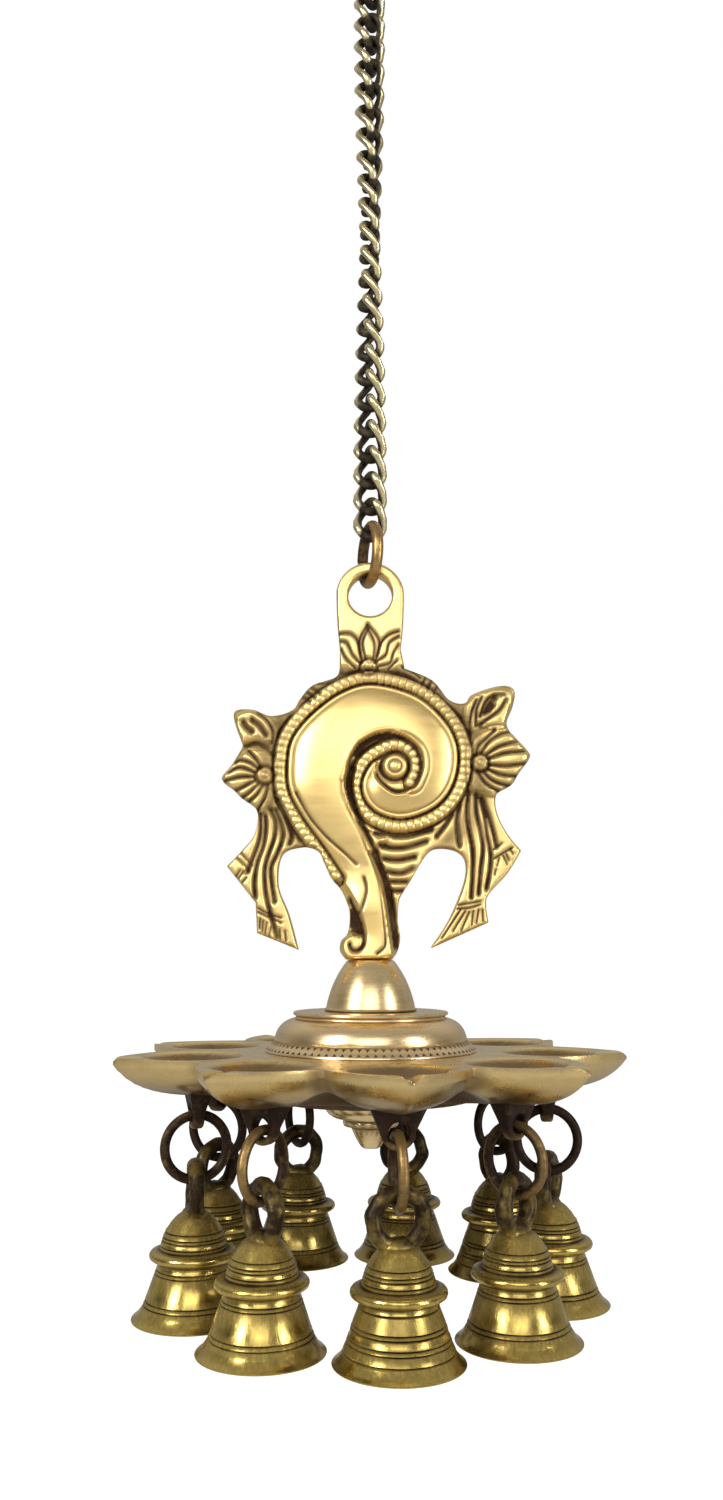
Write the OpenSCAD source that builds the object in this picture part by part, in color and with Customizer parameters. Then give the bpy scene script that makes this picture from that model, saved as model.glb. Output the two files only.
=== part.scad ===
// Hanging oil lamp: a plate of pointed wick petals with bells under it,
// hung from a conch plaque, a jump ring, a twisted curb chain and a ceiling hook.
// Millimetres, +Z up, front towards -Y.
// The origin is the point where the hook bears on what it hangs from.

/* [Ceiling hook] */
// Diameter of the hook's wire
hook_wire = 4; // [3:0.25:4.5]
// Inner radius of the open bend
hook_bend_r = 9; // [7:0.5:14]
// Straight shank between the bend and the eye
hook_shank = 26; // [18:1:40]
// Inner radius of the curled eye
hook_eye_r = 4.5; // [4:0.25:7]
// How far the open end drops past the level of the bend's centre, in degrees
hook_mouth_drop = 25; // [0:5:40]

/* [Chain] */
// Number of links
chain_links = 23; // [12:1:23]
// Diameter of a link's wire
link_wire = 3; // [2:0.1:3.2]
// Width of a link over both sides
link_width = 11.5; // [11:0.25:14]
// Length that each link adds to the chain
link_pitch = 9.7; // [9:0.1:13]
// Turn of the hanging chain from one link to the next, in degrees
link_turn = 6.8; // [0:0.2:8]
// Direction that the lowest link faces, in degrees
link_face = -15; // [-30:5:0]

/* [Jump ring] */
// Diameter of the jump ring's wire
jump_wire = 3.9; // [3:0.1:4.2]
// Outside diameter of the jump ring
jump_outside = 23.7; // [22:0.1:30]
// Slit between the two wire ends
jump_slit = 0.8; // [0.4:0.1:2]
// Direction of the jump ring's plane, in degrees from the plaque's face
jump_face = 105; // [95:5:115]

/* [Conch plaque] */
// Thickness of the flat parts of the plaque
plaque_t = 6; // [4:0.5:7]
// Thickness of the conch at its beaded edge
conch_edge_t = 9; // [8:0.5:11]
// Thickness of the conch at the middle of its swell
conch_swell_t = 17; // [13:0.5:20]
// Thickness of the conch's tail above the foot
tail_t = 12; // [11:0.5:13.5]
// Radius of the beaded disc
disc_r = 33; // [31:0.5:36]
// Radius of the beaded edge's roll
bead_r = 1.7; // [1.2:0.1:2.2]
// Height of the disc's centre above the foot
disc_rise = 62.2; // [58:0.5:70]
// Width of the tab that holds the eye
tab_w = 23; // [21:0.5:26]
// Width of the tab where it meets the disc
tab_neck_w = 20.5; // [16:0.5:22]
// Height of the eye's centre above the foot
eye_rise = 123.7; // [118:0.5:132]
// Diameter of the eye
eye_d = 15; // [13:0.25:16]
// Rounding of the eye's edges
eye_round = 1.5; // [1:0.1:1.8]
// Height of a side flower, from its lower to its upper petal
flower_h = 23; // [18:0.5:26]
// How far a side flower's tip stands out from the disc
flower_reach = 18.5; // [14:0.5:22]
// Rise of the right flower, and drop of the left one, from the disc's middle
flower_shift = 3.5; // [0:0.5:5]
// Length of a leaf bud above a flower
bud_l = 19.5; // [14:0.5:22]
// Width of a leaf bud
bud_w = 11.5; // [8:0.5:13]
// Length of a ribbon's long tail below its flower
tail_drop = 60; // [50:1:64]
// Length of a ribbon's short tail below its flower
short_drop = 36; // [28:1:42]
// Radius of the arch between a ribbon and the conch's tail
arch_r = 7.7; // [6:0.1:8.5]
// Half width of the foot
foot_half_w = 9.5; // [8:0.25:11]
// Radius of the raised spiral's outermost turn
spiral_r = 20; // [17:0.5:22]
// Share of its radius that the spiral keeps over each quarter turn
spiral_decay = 0.78; // [0.7:0.01:0.85]
// Radius of the raised spiral's roll
spiral_roll = 1.5; // [1:0.1:2]

/* [Pedestal and dome] */
// Radius of the pedestal at its foot
pedestal_r = 14.6; // [12:0.2:18]
// Radius of the pedestal under the plaque
pedestal_top_r = 7.6; // [6.5:0.2:9]
// Height of the pedestal
pedestal_h = 16.3; // [12:0.5:24]
// Bulge of the pedestal's side beyond a straight cone
pedestal_bulge = 1; // [0:0.25:2]
// Radius of the dome's punched flange
dome_flange_r = 34.2; // [32:0.2:36]
// Thickness of the punched flange
dome_flange_t = 3.2; // [1.6:0.1:3.6]
// Radius of the dome where it leaves the flange
dome_r = 31.4; // [29:0.2:31.6]
// Radius of the dome's top disc
dome_top_r = 25; // [22:0.5:27]
// Height of the dome without its top disc
dome_h = 8.1; // [7:0.1:14]
// Bulge of the dome's side beyond a straight cone
dome_bulge = 2; // [0.5:0.25:3]
// Thickness of the dome's top disc
dome_lip_t = 1.2; // [0.8:0.1:2]

/* [Wick plate] */
// Number of petals, each with a bell
petals = 9; // [7:1:9]
// Distance from the axis to a petal's tip
tip_r = 82; // [80:0.5:90]
// Radius of a petal's curved side, seen from above
petal_side_r = 50; // [46:1:56]
// Half of the angle between a petal's two sides at its tip, in degrees
petal_tip_half = 59; // [56:1:62]
// Height of the rim's wall
rim_h = 4.8; // [3.5:0.1:6]
// Depth of the belly below the rim at the lugs
belly_depth = 12.4; // [11:0.2:13.5]
// Bulge of the belly beyond a straight slope from the lugs to the tip
belly_bulge = 1; // [0.25:0.25:1.5]
// Depth of the valley between two petals at the rim
valley_depth = 6; // [4.5:0.25:7]
// Half width of a valley's mouth
valley_half_w = 13; // [10:0.5:14]
// Turn of the first petal from the front, in degrees
petal_turn = 7.2; // [0:0.2:20]
// Radius of the thick hub under the dome
hub_r = 33; // [30:0.5:38]
// Depth of the hub below the rim
hub_depth = 14.5; // [13.5:0.25:18]
// Distance from the axis to the middle of a well
well_at = 57.5; // [56.5:0.5:58]
// Width of a well at the rim
well_d = 30; // [24:0.5:30]
// Depth of a well
well_depth = 8; // [7:0.25:9]
// Radius of the wick groove at a petal's tip
groove_r = 2.6; // [1.5:0.1:3.2]
// Depth of the wick groove
groove_depth = 1.4; // [0.8:0.1:2]

/* [Lugs] */
// Distance from the axis to the lugs
lug_at = 56; // [55:0.5:60]
// Width of a lug at its root
lug_root_w = 16.5; // [14:0.5:18]
// Thickness of a lug at its root
lug_root_t = 8; // [6:0.25:10]
// Thickness of a lug at its hole
lug_t = 4.5; // [4:0.25:5.5]
// Depth of a lug's hole below the rim
lug_drop = 17; // [16.5:0.25:20]
// Radius of a lug's round end
lug_end_r = 4.6; // [4.2:0.1:5.5]
// Radius of a lug's hole at its narrowest
lug_hole_r = 2.5; // [2.3:0.1:3]
// Rounding of the edges of a lug's hole
lug_round = 1.9; // [1.6:0.1:1.95]

/* [Bell rings] */
// Diameter of a bell ring's wire
ring_wire = 3; // [2.4:0.1:3.2]
// Outside diameter of a bell ring
ring_outside = 22; // [20:0.5:26]

/* [Bells] */
// Radius of the bar of a bell's loop
loop_bar_r = 2.3; // [1.6:0.1:2.3]
// Diameter of the opening of a bell's loop
loop_d = 9.5; // [8:0.25:11]
// Radius of a bell's mouth
mouth_r = 18; // [15:0.25:18]
// Height of a bell below its loop
bell_h = 29; // [28:0.2:40]
// Height of the flange below the loop
flange_drop = 9.8; // [9:0.2:12]
// Radius of the flange
flange_r = 13.2; // [11:0.2:14]
// Thickness of the flange
flange_t = 2.8; // [1.6:0.1:3]
// Radius of the crown above the flange
crown_r = 10; // [8.6:0.1:10.6]
// Radius of the crown at its top
crown_top_r = 5.2; // [4:0.1:6]
// Bulge of the crown beyond a straight cone
crown_bulge = 1.3; // [0.5:0.1:2]
// Radius of the waist under the flange
waist_r = 10.6; // [9.4:0.1:11]
// Height of the flared lip
lip_h = 4; // [3:0.25:6]
// How far the lip flares beyond the skirt's cone
lip_flare = 1.2; // [0.3:0.1:1.6]
// Wall of the bell
bell_wall = 2; // [1.5:0.1:2.4]
// Thickness of the crown over the clapper's staple
crown_t = 4.8; // [4:0.1:5.4]

/* [Clappers] */
// Wire of the staple and of the clapper's eye
staple_wire = 1.6; // [1.2:0.1:1.8]
// Middle radius of the staple and of the clapper's eye
staple_r = 2.2; // [2:0.1:2.6]
// Radius of the clapper's rod
clapper_rod_r = 1.2; // [0.8:0.1:1.6]
// Radius of the clapper's ball
ball_r = 3.8; // [3:0.1:4.4]
// How far the ball hangs out of the mouth
ball_drop = 2.8; // [1.5:0.1:4]

/* [Finial and tie rod] */
// Radius of the finial's bowl
finial_r = 15; // [12:0.5:18]
// Radius under the finial's bowl
finial_neck_r = 11.6; // [10:0.2:13]
// Height of the finial's bowl
finial_bowl_h = 6.4; // [5:0.2:9]
// Radius of the finial's bead
finial_bead_r = 9; // [8:0.2:10.5]
// Thickness of the finial's bead
finial_bead_t = 2.4; // [2:0.1:3.4]
// Radius of the finial's drop at its top
drop_r = 6.4; // [5:0.2:7.6]
// Radius of the finial's drop at its end
drop_end_r = 2.8; // [2:0.2:4]
// Height of the finial's drop
drop_h = 6.8; // [5:0.2:12]
// Diameter of the tie rod
rod_d = 5; // [4:0.25:5.5]
// Length of the tie rod inside the plaque's foot
rod_in_foot = 12; // [8:0.5:14]

/* [Fits] */
// Gap between two links, or a link and a ring
chain_gap = 0.25; // [0.15:0.05:0.4]
// Gap between a hanging piece and its seat
hang_gap = 0.3; // [0.2:0.05:0.4]
// Gap round the tie rod
rod_gap = 0.15; // [0.1:0.05:0.3]

/* [Hidden] */
$fn = 64;
// A thin overlap that lets two shapes of one casting merge
merge = 0.5;
// Steps along a petal's side, along its belly, and along a lug's round end
side_steps = 7;
belly_steps = 5;
arc_steps = 12;
// Rings along a link and along each bend of the hook, and sides round a wire
link_rings = 24;
bend_rings = 20;
wire_sides = 8;

// Heights of the hook, from the bearing point down
hook_mid_r = hook_bend_r + hook_wire / 2;
hook_eye_mid_r = hook_eye_r + hook_wire / 2;
hook_bend_z = -hook_bend_r;
// The shank touches both bends, so it leans by the difference of their radii
hook_lean = atan2(hook_mid_r - hook_eye_mid_r, hook_shank);
hook_eye_z = hook_bend_z - hook_shank / cos(hook_lean);
hook_seat_z = hook_eye_z - hook_eye_mid_r;
// The eye curls round until its end is a chain gap away from the shank
hook_eye_sweep = 360 - acos(1 - (hook_wire + chain_gap) / hook_eye_mid_r);

// The chain: middle of each link's top wire and bottom wire
link_mid_r = (link_width - link_wire) / 2;
link_length = link_pitch + link_wire + chain_gap;
first_link_z = hook_seat_z + hook_wire / 2 + chain_gap + link_wire / 2;
function link_top_z(i) = first_link_z - (i - 1) * link_pitch;
function link_bottom_z(i) = link_top_z(i) - link_length;
function link_angle(i) = link_face - (chain_links - i) * link_turn;
hook_face = link_angle(1) + 45;

// The jump ring and the plaque's eye that hangs on it
jump_mid_r = (jump_outside - jump_wire) / 2;
jump_top_z = link_bottom_z(chain_links) + link_wire / 2 + chain_gap + jump_wire / 2;
jump_seat_z = jump_top_z - 2 * jump_mid_r;
eye_z = jump_seat_z + jump_wire / 2 + hang_gap - eye_d / 2;

// The lamp, from the plaque's foot to the plate's rim
foot_z = eye_z - eye_rise;
disc_z = foot_z + disc_rise;
dome_top_z = foot_z - pedestal_h;
rim_z = dome_top_z - dome_lip_t - dome_h - dome_flange_t;
hub_z = rim_z - hub_depth;

// A petal seen from above: where its side circles lie
petal_step = 360 / petals;
petal_side_x = petal_side_r * cos(petal_tip_half);
petal_side_y = tip_r - petal_side_r * sin(petal_tip_half);
function petal_angle(k) = petal_turn + (k - 1) * petal_step;
// The notch is where a petal's side reaches the line halfway to the next petal
notch_along = petal_side_y * cos(petal_step / 2) - petal_side_x * sin(petal_step / 2);
notch_r = notch_along
    + sqrt(pow(notch_along, 2) - pow(petal_side_x, 2) - pow(petal_side_y, 2) + pow(petal_side_r, 2));
notch_angle = asin((petal_side_y - notch_r * cos(petal_step / 2)) / petal_side_r);
// A valley's cutter is a cone that widens from the hub to the notch
valley_r = (pow(valley_half_w, 2) + pow(belly_depth - valley_depth, 2)) / (2 * (belly_depth - valley_depth));

// A well is a round bowl, cut by a ball that hangs over the rim
well_r = (pow(well_d / 2, 2) + pow(well_depth, 2)) / (2 * well_depth);
well_rise = well_r - well_depth;

// A bell's hanging stack, from the lug's hole down
lug_hole_z = rim_z - lug_drop;
ring_mid_r = (ring_outside - ring_wire) / 2;
ring_hang_z = lug_hole_z - lug_hole_r + ring_wire / 2 + hang_gap;
ring_z = ring_hang_z - ring_mid_r;
ring_seat_z = ring_z - ring_mid_r;
loop_mid_r = loop_d / 2 + loop_bar_r;
loop_hang_z = ring_seat_z + ring_wire / 2 + hang_gap + loop_bar_r;
loop_z = loop_hang_z - loop_mid_r;
bell_top_z = loop_z - loop_mid_r;
mouth_z = bell_top_z - bell_h;
flange_z = bell_top_z - flange_drop;

// The clapper's stack inside a bell
staple_z = bell_top_z - crown_t - staple_r;
staple_seat_z = staple_z - staple_r;
clapper_eye_z = staple_seat_z + staple_wire + hang_gap - staple_r;
ball_z = mouth_z - ball_drop + ball_r;

// The tie rod, from the foot of the plaque to the finial's drop
rod_top_z = foot_z + rod_in_foot;
finial_bead_z = hub_z - finial_bowl_h;
drop_z = finial_bead_z - finial_bead_t;
rod_end_z = drop_z;

function two_digits(i) = str(i < 10 ? "0" : "", i);
function link_name(i) = str("chain_link_", two_digits(i));
LINKS = [for (i = [1:chain_links]) link_name(i)];
RINGS = [for (k = [1:petals]) str("bell_ring_", k)];
BELLS = [for (k = [1:petals]) str("bell_", k)];
CLAPPERS = [for (k = [1:petals]) str("clapper_", k)];
LAMP = ["conch_plaque", "pedestal_cone", "dome_cap", "lamp_plate", "bottom_finial", "tie_rod"];

// Points on a bulging line from p to q, with the bulge to the right of the way
function bulge_points(p, q, bulge, steps = 8) = [
    for (j = [0:steps])
        let (t = j / steps, n = [q[1] - p[1], p[0] - q[0]] / norm(q - p))
        p + t * (q - p) + 4 * bulge * t * (1 - t) * n
];

// The outline where two equal circles overlap: a leaf along X
module leaf(length, width) {
    r = (pow(length / 2, 2) + pow(width / 2, 2)) / width;
    intersection() {
        translate([0, r - width / 2]) circle(r);
        translate([0, width / 2 - r]) circle(r);
    }
}

// A ring of round wire round the Z axis, or a part of it
module wire_ring(mid_r, wire, sweep = 360) {
    rotate_extrude(angle = sweep)
        translate([mid_r, 0])
            circle(wire / 2, $fn = 32);
}

// Stands a flat outline up in the plaque's plane, with the same thickness to both sides
module stand(thickness) {
    rotate([90, 0, 0])
        linear_extrude(thickness, center = true)
            children();
}

// A straight hole along the Z axis
module rod_hole(low_z, high_z) {
    translate([0, 0, low_z])
        cylinder(h = high_z - low_z, d = rod_d + 2 * rod_gap);
}

// Cuts a hole along Y whose edges are rounded, through a wall of the given thickness
module rounded_hole(hole_r, wall_t, edge_r) {
    rotate([90, 0, 0])
        rotate_extrude()
            difference() {
                translate([0, -wall_t / 2 - merge])
                    square([hole_r + edge_r, wall_t + 2 * merge]);
                for (side = [-1, 1])
                    translate([hole_r + edge_r, side * (wall_t / 2 - edge_r)])
                        circle(edge_r);
                translate([hole_r, edge_r - wall_t / 2])
                    square([edge_r + merge, wall_t - 2 * edge_r]);
            }
}

// Bent wire: points round the wire at c, and the faces between two such rings of points
function unit(v) = v / norm(v);
function wire_section(c, along, out, wire) =
    let (side = cross(along, out))
    [for (j = [0:wire_sides - 1])
        c + wire / 2 * (cos(360 * j / wire_sides) * out + sin(360 * j / wire_sides) * side)];
function wire_band(i, next_i) = [
    for (j = [0:wire_sides - 1])
        let (next_j = (j + 1) % wire_sides)
        let (a = i * wire_sides + j, b = i * wire_sides + next_j)
        let (c = next_i * wire_sides + next_j, d = next_i * wire_sides + j)
        each [[a, b, c], [a, c, d]]
];

// One link of the curb chain: a long ring whose two ends are turned a quarter turn apart
function link_half_straight() = link_length / 2 - link_mid_r;
function link_outline(a) = [
    link_mid_r * cos(a),
    link_mid_r * sin(a) + (sin(a) > 0.01 ? 1 : sin(a) < -0.01 ? -1 : 0) * link_half_straight()
];
function link_twist(z) = -45 * sin(90 * z / (link_length / 2));
function link_spine(a) =
    let (p = link_outline(a), w = link_twist(p[1]))
    [p[0] * cos(w), p[0] * sin(w), p[1]];
function link_wire_ring(a, step) =
    let (c = link_spine(a))
    let (along = unit(link_spine(a + step) - link_spine(a - step)))
    wire_section(c, along, unit(c - along * (c * along)), link_wire);

module curb_link() {
    step = 360 / link_rings;
    points = [for (i = [0:link_rings - 1]) each link_wire_ring(i * step, step / 2)];
    polyhedron(points, [for (i = [0:link_rings - 1]) each wire_band(i, (i + 1) % link_rings)]);
}

// The hook's wire in its own plane: the open bend, then the shank's line, then the curled eye
function arc_points(r, z, from, sweep) = [
    for (j = [0:bend_rings])
        let (a = from + sweep * j / bend_rings)
        [r * cos(a), 0, z + r * sin(a)]
];
function hook_spine() = concat(
    arc_points(hook_mid_r, hook_bend_z, -hook_mouth_drop, 180 + hook_lean + hook_mouth_drop),
    arc_points(hook_eye_mid_r, hook_eye_z, 180 + hook_lean, hook_eye_sweep)
);

module ceiling_hook() {
    spine = hook_spine();
    last = len(spine) - 1;
    points = [
        for (i = [0:last])
            let (along = unit(spine[min(i + 1, last)] - spine[max(i - 1, 0)]))
            each wire_section(spine[i], along, [along[2], 0, -along[0]], hook_wire)
    ];
    first_end = [for (j = [0:wire_sides - 1]) wire_sides - 1 - j];
    last_end = [for (j = [0:wire_sides - 1]) last * wire_sides + j];
    sides = [for (i = [0:last - 1]) each wire_band(i, i + 1)];
    color("#5b4a2c")
        rotate([0, 0, hook_face])
            polyhedron(points, concat([first_end], sides, [last_end]));
}

module chain_link(i) {
    color("#4a3d24")
        translate([0, 0, (link_top_z(i) + link_bottom_z(i)) / 2])
            rotate([0, 0, link_angle(i)])
                curb_link();
}

module jump_ring() {
    slit_angle = jump_slit / jump_mid_r * 180 / PI;
    color("#6e5428")
        translate([0, 0, jump_seat_z + jump_mid_r])
            rotate([0, 0, jump_face])
                rotate([90, 0, 0])
                    rotate([0, 0, slit_angle / 2])
                        wire_ring(jump_mid_r, jump_wire, 360 - slit_angle);
}

// The flat side ornaments: a half flower, its leaf bud and the two tails of a tied ribbon.
// side is 1 on the right and -1 on the left.
module side_ornament(side) {
    flower_x = disc_r + flower_reach - flower_h * 0.72;
    flower_y = disc_rise + side * flower_shift;
    knot_y = flower_y - flower_h / 2;
    mirror([side < 0 ? 1 : 0, 0]) {
        translate([flower_x, flower_y])
            intersection() {
                translate([0, -flower_h / 4]) circle(flower_h * 0.757);
                translate([0, flower_h / 4]) circle(flower_h * 0.757);
            }
        translate([disc_r + bud_l * 0.38, flower_y + flower_h * 0.78])
            rotate([0, 0, 35])
                leaf(bud_l, bud_w);
        polygon([
            [disc_r - 6, knot_y + 6],
            [disc_r + 8, knot_y + 2],
            [disc_r + 8.6, flower_y - short_drop * 0.5],
            [disc_r + 16.2, flower_y - short_drop * 0.84],
            [disc_r + 11.6, flower_y - short_drop * 1.05],
            [disc_r + 5, flower_y - short_drop * 1.24],
            [disc_r - 4, flower_y - short_drop]
        ]);
        polygon([
            [disc_r - 6, knot_y + 6],
            [disc_r + 5, knot_y],
            [disc_r + 4.9, flower_y - tail_drop * 0.78],
            [disc_r + 5, flower_y - tail_drop * 0.88],
            [disc_r - 11.2, flower_y - tail_drop],
            [disc_r - 6.4, flower_y - tail_drop * 0.86],
            [disc_r - 2.6, flower_y - tail_drop * 0.68],
            [disc_r - 1.8, flower_y - tail_drop * 0.56]
        ]);
    }
}

// The web between the disc and a ribbon, with the round top of the arch cut out of it
module arch_web() {
    arch_x = disc_r - 9.5;
    arch_y = disc_rise - disc_r + 0.4;
    for (side = [-1, 1])
        difference() {
            translate([side < 0 ? -disc_r : 0, arch_y])
                square([disc_r, disc_r]);
            translate([side * arch_x, arch_y])
                circle(arch_r);
        }
}

// The conch's tail, which narrows from the disc to the foot
module conch_tail() {
    neck_w = foot_half_w * 0.8;
    shoulder_y = disc_rise - disc_r + 4;
    left = bulge_points([-disc_r * 0.56, shoulder_y], [-neck_w, shoulder_y * 0.5], -2, 5);
    right = bulge_points([neck_w + 1, shoulder_y * 0.56], [disc_r * 0.56, shoulder_y], -2, 5);
    polygon(concat(
        left,
        [[-neck_w, 10], [-foot_half_w - 0.5, 6], [-foot_half_w, 2.5], [-foot_half_w * 0.85, 0]],
        [[foot_half_w * 0.85, 0], [foot_half_w, 3], [foot_half_w, 7], [neck_w + 1, 13]],
        right
    ));
}

// The tab with the eye
module tab_outline() {
    translate([0, eye_rise]) circle(tab_w / 2);
    polygon([
        [-tab_neck_w / 2, disc_rise + disc_r * 0.9],
        [tab_neck_w / 2, disc_rise + disc_r * 0.9],
        [tab_w / 2, eye_rise],
        [-tab_w / 2, eye_rise]
    ]);
}

// The conch's swelling disc: two shallow caps, back to back
module conch_swell() {
    cap_h = (conch_swell_t - conch_edge_t) / 2;
    cap_r = (pow(disc_r, 2) + pow(cap_h, 2)) / (2 * cap_h);
    translate([0, 0, disc_rise])
        intersection() {
            translate([0, conch_swell_t / 2 - cap_r, 0]) sphere(cap_r, $fn = 128);
            translate([0, cap_r - conch_swell_t / 2, 0]) sphere(cap_r, $fn = 128);
            rotate([90, 0, 0]) cylinder(h = conch_swell_t, r = disc_r - bead_r, center = true);
        }
}

// The raised spiral: quarter turns that each keep a share of the last one's radius
function spiral_radius(n) = spiral_r * pow(spiral_decay, n);
function spiral_centre(n) =
    n == 0
        ? [disc_r - bead_r - spiral_r, disc_rise]
        : spiral_centre(n - 1)
            + (spiral_radius(n - 1) - spiral_radius(n)) * [cos(90 * n), -sin(90 * n)];

module conch_spiral() {
    quarters = 6;
    for (face = [-1, 1], n = [0:quarters - 1]) {
        c = spiral_centre(n);
        depth = conch_edge_t / 2 + (conch_swell_t - conch_edge_t) / 2 * (n + 1) / quarters;
        translate([c[0], face * (depth - spiral_roll / 2), c[1]])
            rotate([90, 0, 0])
                rotate([0, 0, -90 * (n + 1)])
                    wire_ring(spiral_radius(n), 2 * spiral_roll, 90);
    }
}

module conch_plaque() {
    color("#c9a04a")
        translate([0, 0, foot_z])
            difference() {
                union() {
                    stand(plaque_t) {
                        tab_outline();
                        translate([0, disc_rise]) circle(disc_r);
                        intersection() {
                            translate([0, disc_rise]) circle(disc_r + 3.5);
                            translate([-disc_r, disc_rise + disc_r / 2]) square([2 * disc_r, disc_r]);
                        }
                        side_ornament(1);
                        side_ornament(-1);
                        arch_web();
                        conch_tail();
                    }
                    stand(tail_t) conch_tail();
                    conch_swell();
                    for (face = [-1, 1])
                        translate([0, face * (conch_edge_t / 2 - bead_r / 2), disc_rise])
                            rotate([90, 0, 0])
                                wire_ring(disc_r - bead_r, 2 * bead_r);
                    conch_spiral();
                }
                translate([0, 0, eye_rise])
                    rounded_hole(eye_d / 2, plaque_t, eye_round);
                rod_hole(-merge, rod_in_foot + rod_gap);
            }
}

module pedestal_cone() {
    side = bulge_points([pedestal_r, dome_top_z + 1], [pedestal_top_r, foot_z], pedestal_bulge);
    color("#c49a45")
        difference() {
            rotate_extrude()
                polygon(concat(
                    [[0, foot_z], [0, dome_top_z], [pedestal_r + 0.4, dome_top_z]],
                    side
                ));
            rod_hole(dome_top_z - merge, foot_z + merge);
        }
}

module dome_cap() {
    flange_top_z = rim_z + dome_flange_t;
    lip_z = flange_top_z + dome_h;
    groove = 0.8;
    edge_t = 0.6;
    side = bulge_points([dome_r, flange_top_z], [dome_top_r - groove, lip_z - groove], dome_bulge);
    color("#c09642")
        difference() {
            rotate_extrude()
                polygon(concat(
                    [[0, dome_top_z], [0, rim_z], [dome_flange_r, rim_z], [dome_flange_r, rim_z + edge_t]],
                    side,
                    [[dome_top_r - groove, lip_z], [dome_top_r, lip_z], [dome_top_r, dome_top_z]]
                ));
            rod_hole(rim_z - merge, dome_top_z + merge);
        }
}

// The plate seen from above: each petal has two curved sides that meet at its tip
function petal_side(side) = [
    for (j = [0:side_steps - 1])
        let (t = (side > 0 ? j : side_steps - j) / side_steps)
        let (a = -petal_tip_half + t * (notch_angle + petal_tip_half))
        [side * (petal_side_r * cos(a) - petal_side_x), petal_side_r * sin(a) - petal_side_y]
];
function turned(p, a) = [p[0] * cos(a) - p[1] * sin(a), p[0] * sin(a) + p[1] * cos(a)];

module plate_outline() {
    polygon([
        for (k = [1:petals], side = [-1, 1], p = petal_side(side))
            turned(p, petal_angle(k))
    ]);
}

// The plate's round blank: flat on top, with a belly that rises from the lugs to the tips
module plate_blank() {
    belly = bulge_points([lug_at, -belly_depth], [tip_r + merge, -rim_h], belly_bulge, belly_steps);
    rotate_extrude($fn = 128)
        polygon(concat([[0, 0], [0, -hub_depth], [hub_r, -hub_depth]], belly, [[tip_r + merge, 0]]));
}

// The cutter that hollows the underside between two petals
module valley() {
    rotate([90, 0, 0])
        translate([0, -valley_depth - valley_r, hub_r])
            cylinder(h = tip_r - hub_r, r1 = valley_r - belly_depth + valley_depth, r2 = valley_r);
}

// The outline of a lug, seen along its hole: a wide root that narrows to a round end
module lug_outline() {
    root = [lug_root_w / 2, lug_drop - 2 * rim_h];
    touch = atan2(root[1], root[0]) - acos(lug_end_r / norm(root));
    end_arc = [
        for (j = [0:arc_steps])
            let (a = touch - (180 + 2 * touch) * j / arc_steps)
            lug_end_r * [cos(a), sin(a)]
    ];
    polygon(concat([root], end_arc, [[-root[0], root[1]]]));
}

module lug() {
    root_z = lug_drop - 2 * rim_h;
    intersection() {
        rotate([90, 0, 0])
            linear_extrude(lug_root_t, center = true)
                lug_outline();
        rotate([90, 0, 90])
            linear_extrude(lug_root_w, center = true)
                polygon([
                    [-lug_t / 2, -lug_end_r],
                    [lug_t / 2, -lug_end_r],
                    [lug_t / 2, lug_end_r],
                    [lug_root_t / 2, root_z],
                    [-lug_root_t / 2, root_z],
                    [-lug_t / 2, lug_end_r]
                ]);
    }
}

// The cuts in one petal: its oil well, its wick groove and its lug's hole
module petal_cuts() {
    translate([0, -well_at, well_rise])
        sphere(well_r, $fn = 96);
    translate([0, -well_at - well_d * 0.4, groove_r - groove_depth])
        rotate([90, 0, 0])
            cylinder(h = tip_r - well_at, r = groove_r);
    translate([0, -lug_at, -lug_drop])
        rounded_hole(lug_hole_r, lug_t, lug_round);
}

module lamp_plate() {
    color("#b39a55")
        translate([0, 0, rim_z])
            difference() {
                union() {
                    difference() {
                        intersection() {
                            translate([0, 0, -hub_depth]) linear_extrude(hub_depth) plate_outline();
                            plate_blank();
                        }
                        for (k = [1:petals])
                            rotate([0, 0, petal_angle(k) + petal_step / 2])
                                valley();
                    }
                    for (k = [1:petals])
                        rotate([0, 0, petal_angle(k)])
                            translate([0, -lug_at, -lug_drop])
                                lug();
                }
                for (k = [1:petals])
                    rotate([0, 0, petal_angle(k)])
                        petal_cuts();
                rod_hole(-hub_depth - merge, merge);
            }
}

module bottom_finial() {
    bowl = bulge_points([finial_neck_r, finial_bead_z], [finial_r, hub_z], 1.2);
    color("#b08d40")
        difference() {
            rotate_extrude()
                polygon(concat(
                    [[0, hub_z], [0, drop_z - drop_h], [drop_end_r, drop_z - drop_h], [drop_r, drop_z]],
                    [[finial_bead_r - 0.6, drop_z], [finial_bead_r, drop_z + finial_bead_t / 2]],
                    [[finial_bead_r - 0.6, finial_bead_z]],
                    bowl
                ));
            rod_hole(rod_end_z, hub_z + merge);
        }
}

module tie_rod() {
    color("#8a8a86")
        translate([0, 0, rod_end_z])
            cylinder(h = rod_top_z - rod_end_z, d = rod_d);
}

module bell_ring(k) {
    color("#46351f")
        rotate([0, 0, petal_angle(k)])
            translate([0, -lug_at, ring_z])
                rotate([0, 90, 0])
                    wire_ring(ring_mid_r, ring_wire);
}

// Half outline of a bell's outside, from the mouth up to the crown's top
function bell_outside() = concat(
    [[mouth_r, mouth_z], [mouth_r, mouth_z + 0.8]],
    bulge_points([mouth_r, mouth_z + 0.8], [skirt_r(mouth_z + lip_h), mouth_z + lip_h], -lip_flare / 3, 4),
    [[waist_r, flange_z - flange_t], [flange_r - 0.5, flange_z - flange_t]],
    [[flange_r, flange_z - flange_t / 2], [flange_r - 0.5, flange_z]],
    bulge_points([crown_r, flange_z], [crown_top_r, bell_top_z], crown_bulge, 6)
);
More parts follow.
